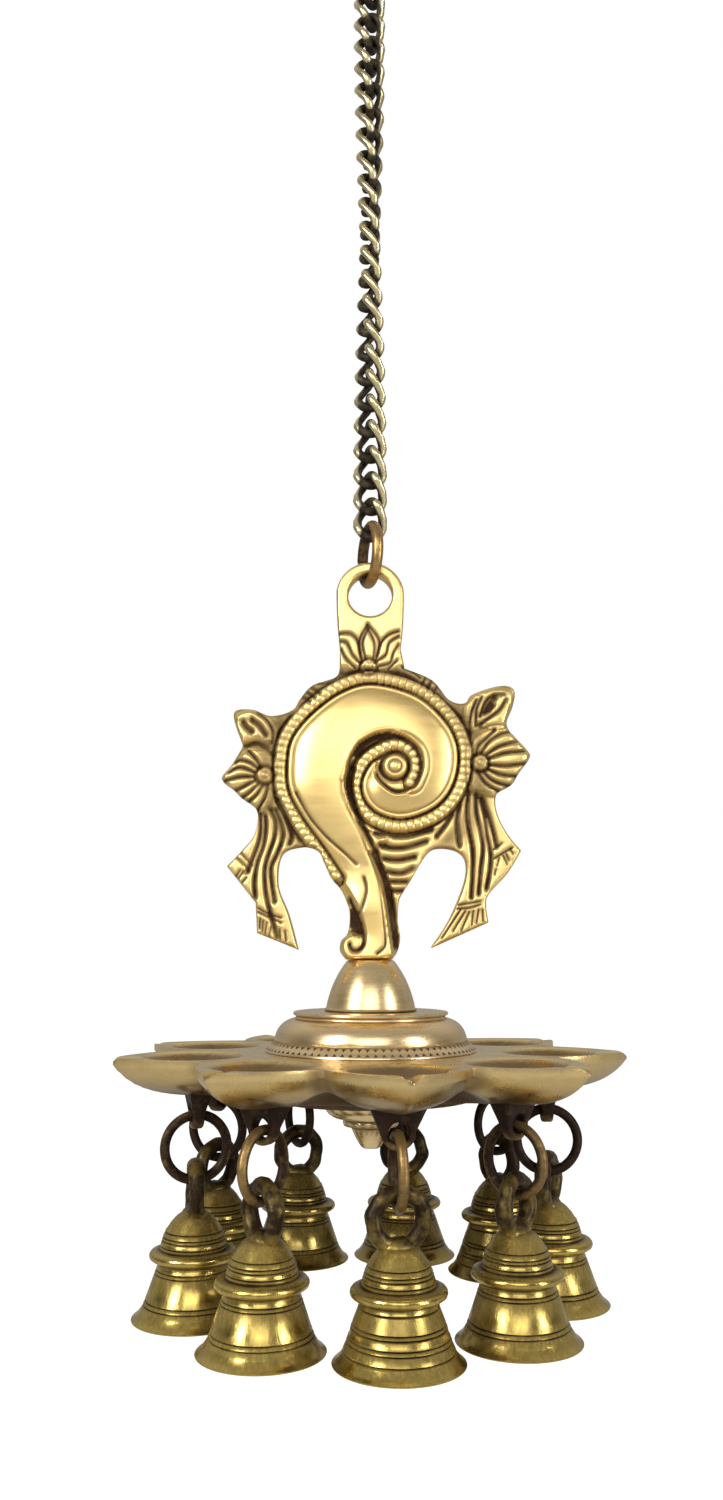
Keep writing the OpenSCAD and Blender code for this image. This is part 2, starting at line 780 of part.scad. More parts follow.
// Radius of the skirt's straight cone at a height
function skirt_r(z) =
    waist_r + (mouth_r - lip_flare - waist_r) * (flange_z - flange_t - z) / (flange_z - flange_t - mouth_z);
// Half outline of the hollow, from the crown's inside down to the mouth
function bell_inside() = concat(
    [[0, bell_top_z - crown_t]],
    bulge_points(
        [staple_r + staple_wire, bell_top_z - crown_t],
        [waist_r - bell_wall, flange_z - flange_t],
        -0.8, 4
    ),
    [[skirt_r(mouth_z + lip_h) - bell_wall, mouth_z + lip_h], [mouth_r - bell_wall, mouth_z - merge]],
    [[0, mouth_z - merge]]
);

module bell(k) {
    color("#a8873a")
        rotate([0, 0, petal_angle(k)])
            translate([0, -lug_at, 0]) {
                difference() {
                    union() {
                        rotate_extrude()
                            polygon(concat([[0, mouth_z]], bell_outside(), [[0, bell_top_z]]));
                        translate([0, 0, loop_z])
                            rotate([90, 0, 0])
                                wire_ring(loop_mid_r, 2 * loop_bar_r);
                    }
                    rotate_extrude()
                        polygon(bell_inside());
                }
                translate([0, 0, staple_z])
                    rotate([90, 0, 0])
                        wire_ring(staple_r, staple_wire);
            }
}

module clapper(k) {
    eye_low_z = clapper_eye_z - staple_r;
    color("#6a5a33")
        rotate([0, 0, petal_angle(k)])
            translate([0, -lug_at, 0]) {
                translate([0, 0, clapper_eye_z])
                    rotate([0, 90, 0])
                        wire_ring(staple_r, staple_wire);
                translate([0, 0, ball_z])
                    cylinder(h = eye_low_z - ball_z, r = clapper_rod_r);
                translate([0, 0, ball_z])
                    sphere(ball_r);
            }
}

ceiling_hook();
for (i = [1:chain_links])
    chain_link(i);
jump_ring();
conch_plaque();
pedestal_cone();
dome_cap();
lamp_plate();
bottom_finial();
tie_rod();
for (k = [1:petals]) {
    bell_ring(k);
    bell(k);
    clapper(k);
}
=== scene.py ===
"""Looks of the hanging oil lamp: a petal plate with bells, a cast conch plaque and a curb chain."""

import math
import random

import bmesh
import bpy
import numpy as np
from mathutils import Matrix, Vector


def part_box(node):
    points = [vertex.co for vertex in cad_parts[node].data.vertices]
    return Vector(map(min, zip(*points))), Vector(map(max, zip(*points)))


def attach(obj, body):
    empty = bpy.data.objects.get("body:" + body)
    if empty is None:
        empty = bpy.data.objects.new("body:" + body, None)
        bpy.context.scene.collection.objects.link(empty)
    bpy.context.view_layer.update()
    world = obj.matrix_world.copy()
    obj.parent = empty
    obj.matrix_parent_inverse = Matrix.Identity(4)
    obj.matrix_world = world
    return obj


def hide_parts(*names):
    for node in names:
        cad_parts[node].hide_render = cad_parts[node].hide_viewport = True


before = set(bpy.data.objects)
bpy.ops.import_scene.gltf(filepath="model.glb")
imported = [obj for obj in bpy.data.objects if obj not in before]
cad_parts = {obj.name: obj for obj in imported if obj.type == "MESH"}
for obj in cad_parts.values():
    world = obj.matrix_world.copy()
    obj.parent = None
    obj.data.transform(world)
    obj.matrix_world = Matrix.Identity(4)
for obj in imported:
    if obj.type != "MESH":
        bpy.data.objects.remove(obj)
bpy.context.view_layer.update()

MM = 0.001
# Height of the plate's rim. Sizes are in millimetres, and heights count from the rim.
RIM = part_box("dome_cap")[0].z / MM
PETALS = 9
PETAL_PITCH = 360 / PETALS
PETAL_TURN = 7.2  # degrees from the front to the first petal
TIP_R = 82
WELL_AT, WELL_BALL_R, WELL_DEPTH = 57.5, 18.06, 8
LUG_AT, LUG_HOLE_Z = 56, -17  # the bells hang at this distance from the middle
RING_Z, RING_MID_R, RING_WIRE_R = -27.2, 9.5, 1.5
LOOP_Z, LOOP_MID_R, LOOP_WIRE_R = -39.65, 7.05, 2.3
NECK_Z = -46.6
STAPLE_Z, CLAPPER_EYE_Z = -53.7, -56.2
STAPLE_MID_R, STAPLE_WIRE_R = 2.2, 0.8
EYE_Z, EYE_R = 152.5, 7.6  # the hole at the top of the plaque
LINKS = 23
LINK_MID_R, LINK_WIRE_R, LINK_HALF_LENGTH = 4.5, 1.6, 6.55
MERGE = 0.002 * MM  # vertices closer than this are one
FAR = 1e9


# Mesh helpers

def add_piece(bm, name, body, material, stands_for=(), smooth_angle=40):
    """Makes an object of the bmesh, lets it ride on a body and stand for CAD nodes."""
    bmesh.ops.remove_doubles(bm, verts=bm.verts, dist=MERGE)
    bmesh.ops.recalc_face_normals(bm, faces=bm.faces)
    mesh = bpy.data.meshes.new(name)
    bm.to_mesh(mesh)
    bm.free()
    mesh.shade_smooth()
    mesh.set_sharp_from_angle(angle=math.radians(smooth_angle))
    mesh.materials.append(material)
    piece = bpy.data.objects.new(name, mesh)
    bpy.context.scene.collection.objects.link(piece)
    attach(piece, body)
    if stands_for:
        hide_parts(*stands_for)


def lathe(profile, steps=96):
    """Turns an outline of (radius, height above the rim) points round the Z axis."""
    bm = bmesh.new()
    points = [bm.verts.new((r * MM, 0, (RIM + z) * MM)) for r, z in profile]
    for a, b in zip(points, points[1:]):
        bm.edges.new((a, b))
    bmesh.ops.spin(bm, geom=bm.verts[:] + bm.edges[:], cent=(0, 0, 0), axis=(0, 0, 1),
                   angle=2 * math.pi, steps=steps, use_merge=True)
    bmesh.ops.remove_doubles(bm, verts=bm.verts, dist=MERGE)
    return bm


def wire_loop(mid_r, wire_r, steps=64, sides=14, gap=0.0):
    """A ring of round wire in the XZ plane; a gap in degrees leaves it open at +X."""
    bm = bmesh.new()
    bmesh.ops.create_circle(bm, segments=sides, radius=wire_r * MM, cap_ends=gap > 0)
    bmesh.ops.translate(bm, verts=bm.verts, vec=(mid_r * MM, 0, 0))
    bmesh.ops.rotate(bm, verts=bm.verts, cent=(0, 0, 0),
                     matrix=Matrix.Rotation(-math.radians(gap / 2), 3, "Y"))
    bmesh.ops.spin(bm, geom=bm.verts[:] + bm.edges[:] + bm.faces[:], cent=(0, 0, 0), axis=(0, -1, 0),
                   angle=math.radians(360 - gap), steps=steps, use_merge=gap == 0)
    return bm


def join(bm, other):
    """Adds a second bmesh to the first."""
    mesh = bpy.data.meshes.new("joined")
    other.to_mesh(mesh)
    other.free()
    bm.from_mesh(mesh)
    bpy.data.meshes.remove(mesh)


def place(bm, turn=0.0, at=(0, 0, 0)):
    """Turns a bmesh about Z, in degrees, and moves it, in millimetres."""
    matrix = Matrix.Translation(Vector(at) * MM) @ Matrix.Rotation(math.radians(turn), 4, "Z")
    bmesh.ops.transform(bm, matrix=matrix, verts=bm.verts)


def mask(bm, name, value_of):
    """Stores a value from 0 to 1 on each vertex, for a material to read."""
    layer = bm.verts.layers.float.get(name) or bm.verts.layers.float.new(name)
    for v in bm.verts:
        v[layer] = min(1.0, max(0.0, value_of(v.co / MM)))


def step(low, high, x):
    """A smooth step from 0 at low to 1 at high."""
    t = np.clip((x - low) / (high - low), 0, 1)
    return t * t * (3 - 2 * t)


def hump(x, width):
    """1 at 0, falling off smoothly to both sides."""
    return np.exp(-(x / width) ** 2)


def petal_turn(k):
    """Degrees from the front to petal k, round the Z axis."""
    return PETAL_TURN + (k - 1) * PETAL_PITCH


def off_front(k):
    """Degrees between petal k and the front, from 0 to 180."""
    return abs((petal_turn(k) + 180) % 360 - 180)


def hang_at_petal(bm, k, z=0.0):
    """Moves a piece that was made round the Z axis to its place under petal k."""
    turn = math.radians(petal_turn(k))
    place(bm, petal_turn(k), (LUG_AT * math.sin(turn), -LUG_AT * math.cos(turn), z))


# Drawn curves and reliefs, in millimetres

def curve(points, closed=False, cuts=6):
    """A smooth line through the points, as an array of closer points."""
    p = np.array(points, float)
    n = len(p)
    out = []
    for i in range(n if closed else n - 1):
        if closed:
            a, b, c, d = p[i - 1], p[i], p[(i + 1) % n], p[(i + 2) % n]
        else:
            a, b, c, d = p[max(i - 1, 0)], p[i], p[i + 1], p[min(i + 2, n - 1)]
        for t in np.arange(cuts) / cuts:
            out.append(0.5 * (2 * b + (c - a) * t + (2 * a - 5 * b + 4 * c - d) * t ** 2
                              + (3 * b - a - 3 * c + d) * t ** 3))
    if not closed:
        out.append(p[-1])
    return np.array(out)


def cornered(points, corners):
    """A smooth line through the points that stays sharp at the corners."""
    ends = [0] + [i for i, point in enumerate(points) if point in corners] + [len(points) - 1]
    return np.vstack([curve(points[a:b + 1], cuts=4) for a, b in zip(ends, ends[1:])])


def nearest(p, line, reach=FAR, closed=False):
    """Distance of each point to a line, the length along the line there, and the place on the line."""
    ends = np.vstack([line, line[:1]]) if closed else line
    best = np.full(len(p), reach)
    along = np.zeros(len(p))
    spot = p.copy()
    near = np.all((p > ends.min(0) - reach) & (p < ends.max(0) + reach), axis=1)
    q = p[near]
    b, s, f = best[near], along[near], spot[near]
    start = 0.0
    for a, c in zip(ends, ends[1:]):
        d = c - a
        length = max(np.hypot(*d), 1e-9)
        t = np.clip(((q - a) @ d) / length ** 2, 0, 1)
        hit = a + t[:, None] * d
        dist = np.hypot(*(q - hit).T)
        closer = dist < b
        b[closer] = dist[closer]
        s[closer] = (start + t * length)[closer]
        f[closer] = hit[closer]
        start += length
    best[near], along[near], spot[near] = b, s, f
    return best, along, spot


def inside(p, loop):
    """Which points lie inside a closed line."""
    odd = np.zeros(len(p), bool)
    for a, b in zip(loop, np.roll(loop, -1, 0)):
        crosses = (a[1] > p[:, 1]) != (b[1] > p[:, 1])
        x = a[0] + (p[:, 1] - a[1]) / (b[1] - a[1] + 1e-12) * (b[0] - a[0])
        odd ^= crosses & (p[:, 0] < x)
    return odd


def depth_in(p, loop, reach=FAR):
    """How deep each point lies inside a closed line; negative outside."""
    dist = nearest(p, loop, reach, closed=True)[0]
    return np.where(inside(p, loop), dist, -dist)


def sheet(loop, spacing, layers, hole=None):
    """A flat grid in XY, trimmed to a closed line and to a hole, with empty layers for masks."""
    low, high = loop.min(0) - spacing, loop.max(0) + spacing
    size = high - low
    bm = bmesh.new()
    for name in layers:
        bm.verts.layers.float.new(name)
    cells = np.ceil(size / spacing).astype(int)
    bmesh.ops.create_grid(bm, x_segments=int(cells[0]), y_segments=int(cells[1]), size=0.5)
    bmesh.ops.scale(bm, vec=(size[0], size[1], 1), verts=bm.verts)
    bmesh.ops.translate(bm, vec=(*(low + size / 2), 0), verts=bm.verts)
    p = np.array([v.co[:2] for v in bm.verts])
    depth, spot = np.full(len(p), FAR), p.copy()
    for line, side in ((loop, 1), (hole, -1)):
        if line is not None:
            dist, _, hit = nearest(p, line, closed=True)
            deep = side * np.where(inside(p, line), dist, -dist)
            less = deep < depth
            depth[less], spot[less] = deep[less], hit[less]
    bm.verts.index_update()
    snap = 0.2 * spacing
    keep = np.zeros(len(p), bool)
    for face in bm.faces:
        corners = [v.index for v in face.verts]
        if depth[corners].max() > snap:
            keep[corners] = True
    edge = depth < snap
    p[edge] = spot[edge]
    for v in bm.verts:
        v.co = (*p[v.index], 0)
    bmesh.ops.delete(bm, geom=[v for v in bm.verts if not keep[v.index]], context="VERTS")
    bmesh.ops.remove_doubles(bm, verts=bm.verts, dist=0.1 * spacing)
    return bm


def verts_of(made):
    return [v for v in made["geom"] if isinstance(v, bmesh.types.BMVert)]


def thicken(bm):
    """Doubles a flat sheet. Returns its points and which of them belong to the new face."""
    made = bmesh.ops.extrude_face_region(bm, geom=bm.faces[:], use_keep_orig=True)
    bm.verts.index_update()
    new = np.zeros(len(bm.verts), bool)
    new[[v.index for v in verts_of(made)]] = True
    return np.array([v.co[:2] for v in bm.verts]), new


def hollows(bm, height, times):
    """How far each vertex lies under the mean of its surroundings; below 0 on ridges."""
    bm.verts.index_update()
    ends = np.array([[v.index for v in e.verts] for e in bm.edges])
    count = len(bm.verts)
    weight = np.bincount(ends.ravel(), minlength=count)
    mean = height.copy()
    for _ in range(times):
        total = np.bincount(ends[:, 0], mean[ends[:, 1]], count)
        total = total + np.bincount(ends[:, 1], mean[ends[:, 0]], count)
        mean = 0.3 * mean + 0.7 * total / weight
    return mean - height


def roll(depth, radius):
    """Drop of a rounded edge below the face, at a depth in from the edge."""
    d = np.clip(depth, 0, radius)
    return radius - np.sqrt(radius ** 2 - (radius - d) ** 2)


class Relief:
    """Heights over a set of points, carved with strokes as a chaser does."""

    def __init__(self, p, height):
        self.p = p
        self.h = np.full(len(p), float(height))
        self.patina_and_shade = np.zeros(len(p))

    def darken(self, value):
        self.patina_and_shade = np.maximum(self.patina_and_shade, value)

    def area(self, loop, rise, soft):
        """Raises or sinks the inside of a closed line, with a soft edge."""
        d = depth_in(self.p, loop, 4 * abs(rise) + 8 * soft)
        self.h += rise * step(-soft, soft, d)
        if rise > 0:
            self.darken(0.75 * hump(d + soft, 0.8 * soft))

    def pillow(self, loop, rise, width):
        """Raises the inside of a closed line to a rounded back."""
        d = depth_in(self.p, loop, 3 * width)
        self.h += rise * np.sqrt(np.clip(1 - (1 - np.clip(d / width, 0, 1)) ** 2, 0, 1))

    def groove(self, points, deep, wide):
        """Cuts a line that fills with tarnish."""
        d = nearest(self.p, curve(points), 5 * wide)[0]
        self.h -= deep * hump(d, wide)
        self.darken(hump(d, 1.45 * wide))

    def grooves(self, strokes):
        """Cuts lists of lines, each list with its depth and width."""
        for lines, deep, wide in strokes:
            for line in lines:
                self.groove(line, deep, wide)

    def ridge(self, points, rise, wide):
        d = nearest(self.p, curve(points), 5 * wide)[0]
        self.h += rise * hump(d, wide)

    def boss(self, at, radius, rise):
        """A round knob with a pit in its middle and a dark ring round it."""
        d = np.hypot(*(self.p - np.array(at)).T)
        self.h += rise * np.sqrt(np.clip(1 - (d / radius) ** 2, 0, 1))
        pit = hump(d - 0.5 * radius, 0.16 * radius)
        ring = hump(d - 1.08 * radius, 0.22 * radius)
        self.h -= 0.6 * pit + 0.9 * ring
        self.darken(np.maximum(0.85 * pit, ring))


# The conch plaque
# All points are (across, height above the rim), drawn over the front of the plaque.

PLAQUE_RIGHT = [
    (11.7, 126.7), (21.1, 122.6), (26.6, 115.8), (32, 114.4), (34.3, 117.2), (41.5, 119.9), (46.9, 120.4),
    (49.1, 118.1), (48, 112.6), (46, 107.5), (48, 103.6), (52.8, 98.2), (53.5, 95.6), (49.7, 90.3),
    (47.4, 86.7), (42.2, 83.4), (42.2, 77.1), (45.5, 70.1), (50, 64.5), (45.4, 57.1), (39.1, 50.3),
    (38, 46.5), (38.7, 40.9), (19.6, 32.5), (25.8, 41.7), (30.9, 53.7), (31.6, 60.6), (29.1, 64.1),
    (24.3, 65.3), (20, 64.5), (16.8, 60.6), (13.2, 54.5), (10, 49.5), (9.1, 46), (9, 40.9), (9.7, 35.9),
    (8.8, 31.6), (7, 28.9),
]
PLAQUE_LEFT = [
    (-8, 28.9), (-10, 31.6), (-9.6, 35), (-7.5, 37.5), (-6.9, 44.3), (-9.4, 51.1), (-12.9, 55.4),
    (-15.4, 60.6), (-17, 64.1), (-20.1, 65.7), (-24.5, 65.5), (-28.4, 64.1), (-30.2, 60.6), (-30.6, 54.5),
    (-29.7, 50.3), (-26.8, 43.5), (-23.6, 32.1), (-37.2, 37.5), (-37.8, 47.3), (-47.5, 59.3),
    (-42.3, 64.9), (-38.4, 70.1), (-37.9, 78), (-43.2, 82.3), (-45.9, 85), (-49.8, 88.5), (-46.7, 93),
    (-43.2, 99.1), (-43.3, 100.9), (-45, 105.4), (-46.2, 109.9), (-45, 112.1), (-39.3, 112.1),
    (-33.5, 110), (-26.4, 112.1), (-23.7, 116.2), (-19.6, 120.8), (-12, 123.5), (-10.4, 126.5),
]
# Points of both sides where the outline stays sharp
RIBBON_TIPS = [
    (50, 64.5), (38.7, 40.9), (19.6, 32.5), (-23.6, 32.1), (-37.2, 37.5), (-37.8, 47.3), (-47.5, 59.3),
]
TAB_HALF = 11.6
# The beaded band: one spiral from the tail, round the disc and into the conch's eye
BAND = [
    (-11.1, 55), (-17.9, 64.9), (-24.8, 74.5), (-29.6, 84.1), (-30.2, 94.7), (-28.2, 103.6), (-21, 112.6),
    (-10.3, 120.4), (1.2, 123.2), (16.5, 119), (26.9, 109.9), (31.6, 100), (31.2, 89.4), (27, 80.5),
    (19.8, 74.9), (10.1, 72.3), (1.5, 74.5), (-3.8, 79.7), (-5.4, 86.7), (-2.6, 93.9), (2.8, 98.2),
    (9, 100), (14.2, 96.9), (15.2, 92), (13.4, 87.2),
]
CONCH_EYE = (8.3, 92.6)
# The body's edge winds out of the eye, over the coil and down the tail to the foot
COIL_EDGE = [
    (1.8, 93.9), (1.7, 88.5), (8.2, 83), (15.4, 86), (17.2, 93.9), (13.8, 100.8), (8, 103.8), (2, 103.4),
    (-4, 100),
]
TAIL_EDGE = [
    (-4, 100), (-7.6, 94), (-8.7, 86.9), (-7.9, 82), (-5.6, 76), (-2.4, 69), (0.6, 62), (3, 55.6),
    (4.9, 48),
    (6, 41), (6.8, 35.6), (7.6, 30.6),
]
# The tail's left side below the band, and the whole back of the body
TAIL_SIDE = [(-3, 37.4), (-3.2, 40), (-4.4, 44.4), (-7.4, 49.8)]
TAIL_BACK = [
    (6.6, 29), (0, 28.6), (-7.6, 29), (-9.6, 32), (-8.8, 35.6), (-6, 37.6), (-3.6, 37.4), (-3, 40),
    (-4, 44), (-6.6, 49), (-9.8, 54.6), (-16, 64), (-24, 76), (-28, 92),
    (-20, 110), (0, 116), (16, 112), (25, 100), (24, 92),
]
FOOT_CURL = [(-3.1, 40.5), (-2.2, 36.6), (-2.4, 33.6), (-4.2, 31.8), (-6.2, 32.2), (-6.9, 33.8)]
TAIL_LINES = [
    [(-9.2, 86.9), (-8.7, 82.5), (-6.8, 76.9), (-3.3, 69.8), (-0.7, 63.2), (1.9, 56.2), (3.4, 48.6),
     (4.2, 41.6), (4.7, 36.4), (4.4, 33), (2, 30.8)],
    [(-24.7, 83.6), (-20.4, 75.8), (-14.9, 69.2), (-8.9, 63.8), (-4.6, 59.7)],
    [(-2.2, 55.3), (-1.4, 51.3), (-2.6, 46.4), (-3.8, 43.8)],
]
TAIL_CANAL = [
    (-5.8, 92), (-6.6, 86.9), (-5.9, 81.9), (-3.4, 74.7), (-0.2, 68.1), (2.7, 61), (5.1, 55.1), (7, 47.5),
    (7.7, 41.6), (8.4, 36), (8.8, 32.6),
]
RIBS = [
    [(1.6, 70.2), (7.1, 69.4), (12.6, 69.4), (20.5, 71.4)],
    [(3, 66.4), (7, 65.4), (12, 65.6), (18.6, 67.6)],
    [(4.4, 61.8), (9.2, 61.4), (14.7, 62.4)], [(5.8, 57.4), (10.2, 57), (14, 58.6)],
    [(6.8, 54.2), (11.8, 54.2)], [(7.2, 51.2), (10.4, 51.2)],
]
TAIL_HOLLOW = [
    (-6.9, 48.6), (-5.4, 45.9), (-3.8, 43.2), (-2.7, 40), (-2.2, 36.3), (-4.9, 37.6), (-7.4, 38.4),
    (-7.8, 43.2),
]
LOTUS = [
    [(-2.7, 128.3), (-3.7, 135.9), (-0.9, 141.7)], [(1.6, 128.3), (3.1, 135.9), (-0.8, 141.7)],
    [(-1.5, 129.5), (-2.6, 135.3), (-0.8, 140.2)], [(1, 129.5), (1.4, 135.3), (-0.8, 140.2)],
    [(-10.8, 138.5), (-6.8, 138.5), (-4.3, 135.9), (-3.2, 130.1)],
    [(-10.8, 135.9), (-8, 135.3), (-6, 131.2), (-3.5, 128.3)], [(-10, 133), (-8, 129.5), (-5.2, 126.6)],
    [(9.7, 139.4), (6.3, 138.2), (3.7, 135.3), (2.2, 130.7)],
    [(9.7, 137.6), (6.5, 135.3), (5.3, 131.2), (2.1, 128.9)],
    [(9.6, 134.7), (7.9, 131.8), (6.7, 128.3), (3.2, 127.2)], [(9.2, 129.2), (6, 126)],
]
BUD_LEFT = [
    (-45.5, 109.2), (-43.5, 111.2), (-40.8, 111.9), (-37.5, 110.9), (-34.1, 108.9), (-31.8, 106.1),
    (-31.6, 103.4), (-32.4, 99.7), (-35.5, 101), (-38.8, 101.7), (-42.5, 99.7), (-44.5, 102.7),
    (-45.5, 106.1),
]
BUD_RIGHT = [
    (31.4, 112.3), (33.4, 115.7), (37.5, 118.1), (43, 119.5), (47, 118.1), (47.5, 113), (45.5, 106.8),
    (41.8, 105.5), (37.1, 106.5), (34, 104.1), (32.2, 107.5),
]
BUD_SLOTS = [
    [(-42.7, 107.4), (-41.5, 105.8), (-39.8, 104.4)], [(-39.8, 108.2), (-37.1, 106.1), (-35.1, 103.1)],
    [(42, 115.8), (39.7, 113.6), (38.5, 110.8)], [(41.3, 113.3), (40, 111.6)],
]
BUD_FOLDS = [
    [(-37.8, 110.6), (-34.8, 108.2), (-32.8, 104.4), (-33.1, 100.4)],
    [(-42.2, 99.4), (-38.1, 100.4), (-34.8, 98.7), (-32.5, 96.3)],
    [(35.7, 115), (34.3, 111.6), (33.5, 107.5), (33.7, 104.1)], [(37.6, 116), (35.8, 111.6), (35.4, 106.5)],
    [(45.3, 117.1), (41.5, 116.7), (38.7, 114.3), (36.9, 109.5)],
    [(45.9, 115.4), (43.4, 111.6), (39.9, 108.9), (36.8, 106.8)],
]
FLOWER_LEFT = [
    (-33, 97.5), (-38, 98.5), (-42, 97.8), (-45.6, 93.5), (-49.8, 88.4), (-46, 84), (-43.4, 81.5),
    (-38, 77), (-33.5, 80), (-31.8, 89),
]
FLOWER_RIGHT = [
    (33.2, 85), (38.5, 83.2), (44, 83.6), (48.6, 88.6), (53.4, 95.4), (48.4, 103), (44, 106), (37, 104.5),
    (33.2, 100), (32.6, 93),
]
FLOWER_BOSSES = [(-35.1, 89.4), (36.6, 93.6)]
PETAL_LINES = [
    [(-36.5, 91.9), (-38.1, 94.6), (-39.8, 96.7), (-40.8, 97.9)],
    [(-37.5, 91.6), (-40.1, 93.6), (-43.5, 94.6), (-45.2, 94)],
    [(-38.5, 90.3), (-42.2, 91.9), (-44.8, 91.9), (-47.2, 90.6)],
    [(-38.8, 88.9), (-42.8, 88.9), (-45.8, 88.3), (-48.5, 87.6)],
    [(-38.1, 87.9), (-41.5, 85.9), (-44.1, 84.6), (-46.5, 83.9)],
    [(-37.1, 86.9), (-39.8, 83.9), (-42.1, 82.3), (-44.1, 81.6)],
    [(-35.8, 86.3), (-37.8, 82.9), (-40.1, 80.9), (-41.5, 80.3)],
    [(-34.2, 85.9), (-34.8, 82.6), (-36.5, 79.3), (-37.8, 77.3)],
    [(35.4, 96.3), (36.2, 99.4), (39, 102.1), (41.8, 104.8)],
    [(37.1, 97), (39.6, 100.7), (43.7, 103.4), (47.1, 104.4)],
    [(38.8, 96.3), (42.2, 98.7), (45.6, 100), (49, 101)],
    [(39.4, 95), (44.2, 96.7), (48.2, 97.3), (51.6, 97.7)],
    [(39.3, 93), (44.7, 92.6), (48.7, 93), (52.4, 93.6)],
    [(39, 91.6), (42.6, 89.9), (45.9, 89.3), (49.9, 89.3)],
    [(37.6, 90.9), (39.8, 88.3), (43.1, 86.6), (47.8, 85.9)],
    [(35.9, 90.9), (37.8, 87.3), (41.1, 84.9), (44.3, 83.6)],
]
PLEATS = [
    [(-36.7, 76.6), (-36.5, 71.3), (-37.2, 66.7), (-39.1, 61.5), (-40.6, 57.5)],
    [(-35, 75.9), (-34.8, 72), (-35.5, 66.1), (-37.5, 60.2), (-38.3, 54.3), (-38, 49.1)],
    [(-33.2, 77.9), (-31.5, 74), (-31.9, 68.7), (-33.9, 62.8), (-34.9, 58.2), (-34.6, 51.7), (-33.3, 45.3),
     (-31.6, 39.5), (-30.6, 36)],
    [(-31.5, 77.9), (-29.5, 72.6), (-29.2, 68.7), (-30.9, 63.4), (-32.9, 58.9), (-32.6, 53.7),
    (-31.6, 47.8)],
    [(-30.8, 81.3), (-27.9, 75.3), (-26.1, 70), (-26.8, 66.8)],
    [(32.7, 83.6), (32.2, 78.6), (32.4, 73.3), (33.8, 65.4), (33.9, 58.9), (33.2, 49.1)],
    [(35.3, 82.9), (35.5, 76.6), (36.6, 71.3), (37.4, 65.4), (36.5, 58.9), (35.6, 50.4)],
    [(37.6, 81.3), (39.4, 75.9), (40.9, 70), (41.7, 66.1)],
    [(36.8, 81.9), (38.2, 75.3), (38.7, 70), (39.7, 64.1), (39.6, 58.9), (38.2, 52)],
    [(29.6, 79.3), (28.7, 74), (29.5, 66)], [(27.2, 76.6), (24.7, 72.6), (22, 69.3)],
]
RIBBON_BANDS = [
    [(-43.1, 64.1), (-39.1, 59.5)], [(-44.1, 62.1), (-39.8, 57.9)],
    [(-36.9, 45.6), (-33.3, 43.7), (-29.3, 42.4)],
    [(-36.9, 44.3), (-33.3, 42.7), (-29.2, 40.8)], [(40.7, 64.8), (43.4, 66.7)],
    [(40.9, 61.8), (44.6, 64.1), (47, 65.4)],
    [(28.9, 46.6), (32.5, 47.2), (36.1, 47.8)], [(28.5, 45.4), (32.5, 45.7), (36.1, 46.8)],
]
FRINGES = [
    [(-43.1, 57.9), (-44.4, 55.9)], [(-41.8, 57.6), (-43.4, 55.4)], [(-40.8, 55.6), (-42.2, 54)],
    [(-36.2, 42.1), (-36.3, 38.9)], [(-35.2, 41.4), (-35.4, 38)], [(-34, 40.8), (-34.4, 37.3)],
    [(-32.7, 39.5), (-33.1, 36.6)], [(-29.8, 38.6), (-29.6, 35.4)], [(-28, 38), (-27.6, 35)],
    [(42.6, 62.1), (41.8, 59.5)], [(43.9, 62.8), (45.1, 60)], [(44.9, 63.4), (45.8, 61.2)],
    [(46.3, 65), (47.2, 63.4)], [(41.4, 58.2), (41, 56.6)], [(29.5, 45), (23.4, 36)],
    [(31.1, 44.6), (27, 38.2)],
    [(32.4, 44.3), (29.6, 38.2)], [(33.7, 44.6), (33.1, 40.1)], [(35.4, 45), (34.7, 40.8)],
    [(36.7, 45), (36.8, 41.4)],
]
SHOULDER_TIES = [
    [(-21.8, 118.6), (-18.8, 116.2)], [(-23.2, 117), (-20.4, 114.8)], [(-20, 120), (-17.2, 117.6)],
    [(-17.6, 121.4), (-13.6, 121.8), (-9.6, 125)], [(-12, 123.2), (-8, 124.6), (-4, 125.6)],
    [(19, 124), (17.6, 120.8)], [(21, 122.8), (19.4, 119.4)], [(23, 120.8), (21.6, 117.8)],
    [(7, 125), (11, 124.6), (16, 122)], [(11, 127), (14.4, 125.6), (17, 123.4)],
]


BAND_CUTS = 10
BEAD_PITCH = 2.5
# Lines with the depth and width of their groove
TAIL_STROKES = [(TAIL_LINES, 0.7, 0.45), (RIBS, 1.2, 0.85)]
ORNAMENT_STROKES = [
    (LOTUS, 0.8, 0.55), (BUD_FOLDS, 1.1, 0.75), (BUD_SLOTS, 1.8, 1.1), (PETAL_LINES, 1.3, 0.65),
    (PLEATS, 1.6, 0.8), (RIBBON_BANDS + FRINGES, 0.6, 0.4), (SHOULDER_TIES, 1.2, 0.6),
]


def tab_outline():
    """The tab that holds the eye, from the left shoulder over the top to the right one."""
    top = [(TAB_HALF * math.sin(math.radians(a)), EYE_Z + TAB_HALF * math.cos(math.radians(a)))
           for a in range(-90, 91, 15)]
    return [(-10.3, 133), (-11.2, 142)] + top + [(11.3, 142), (10.4, 133)]


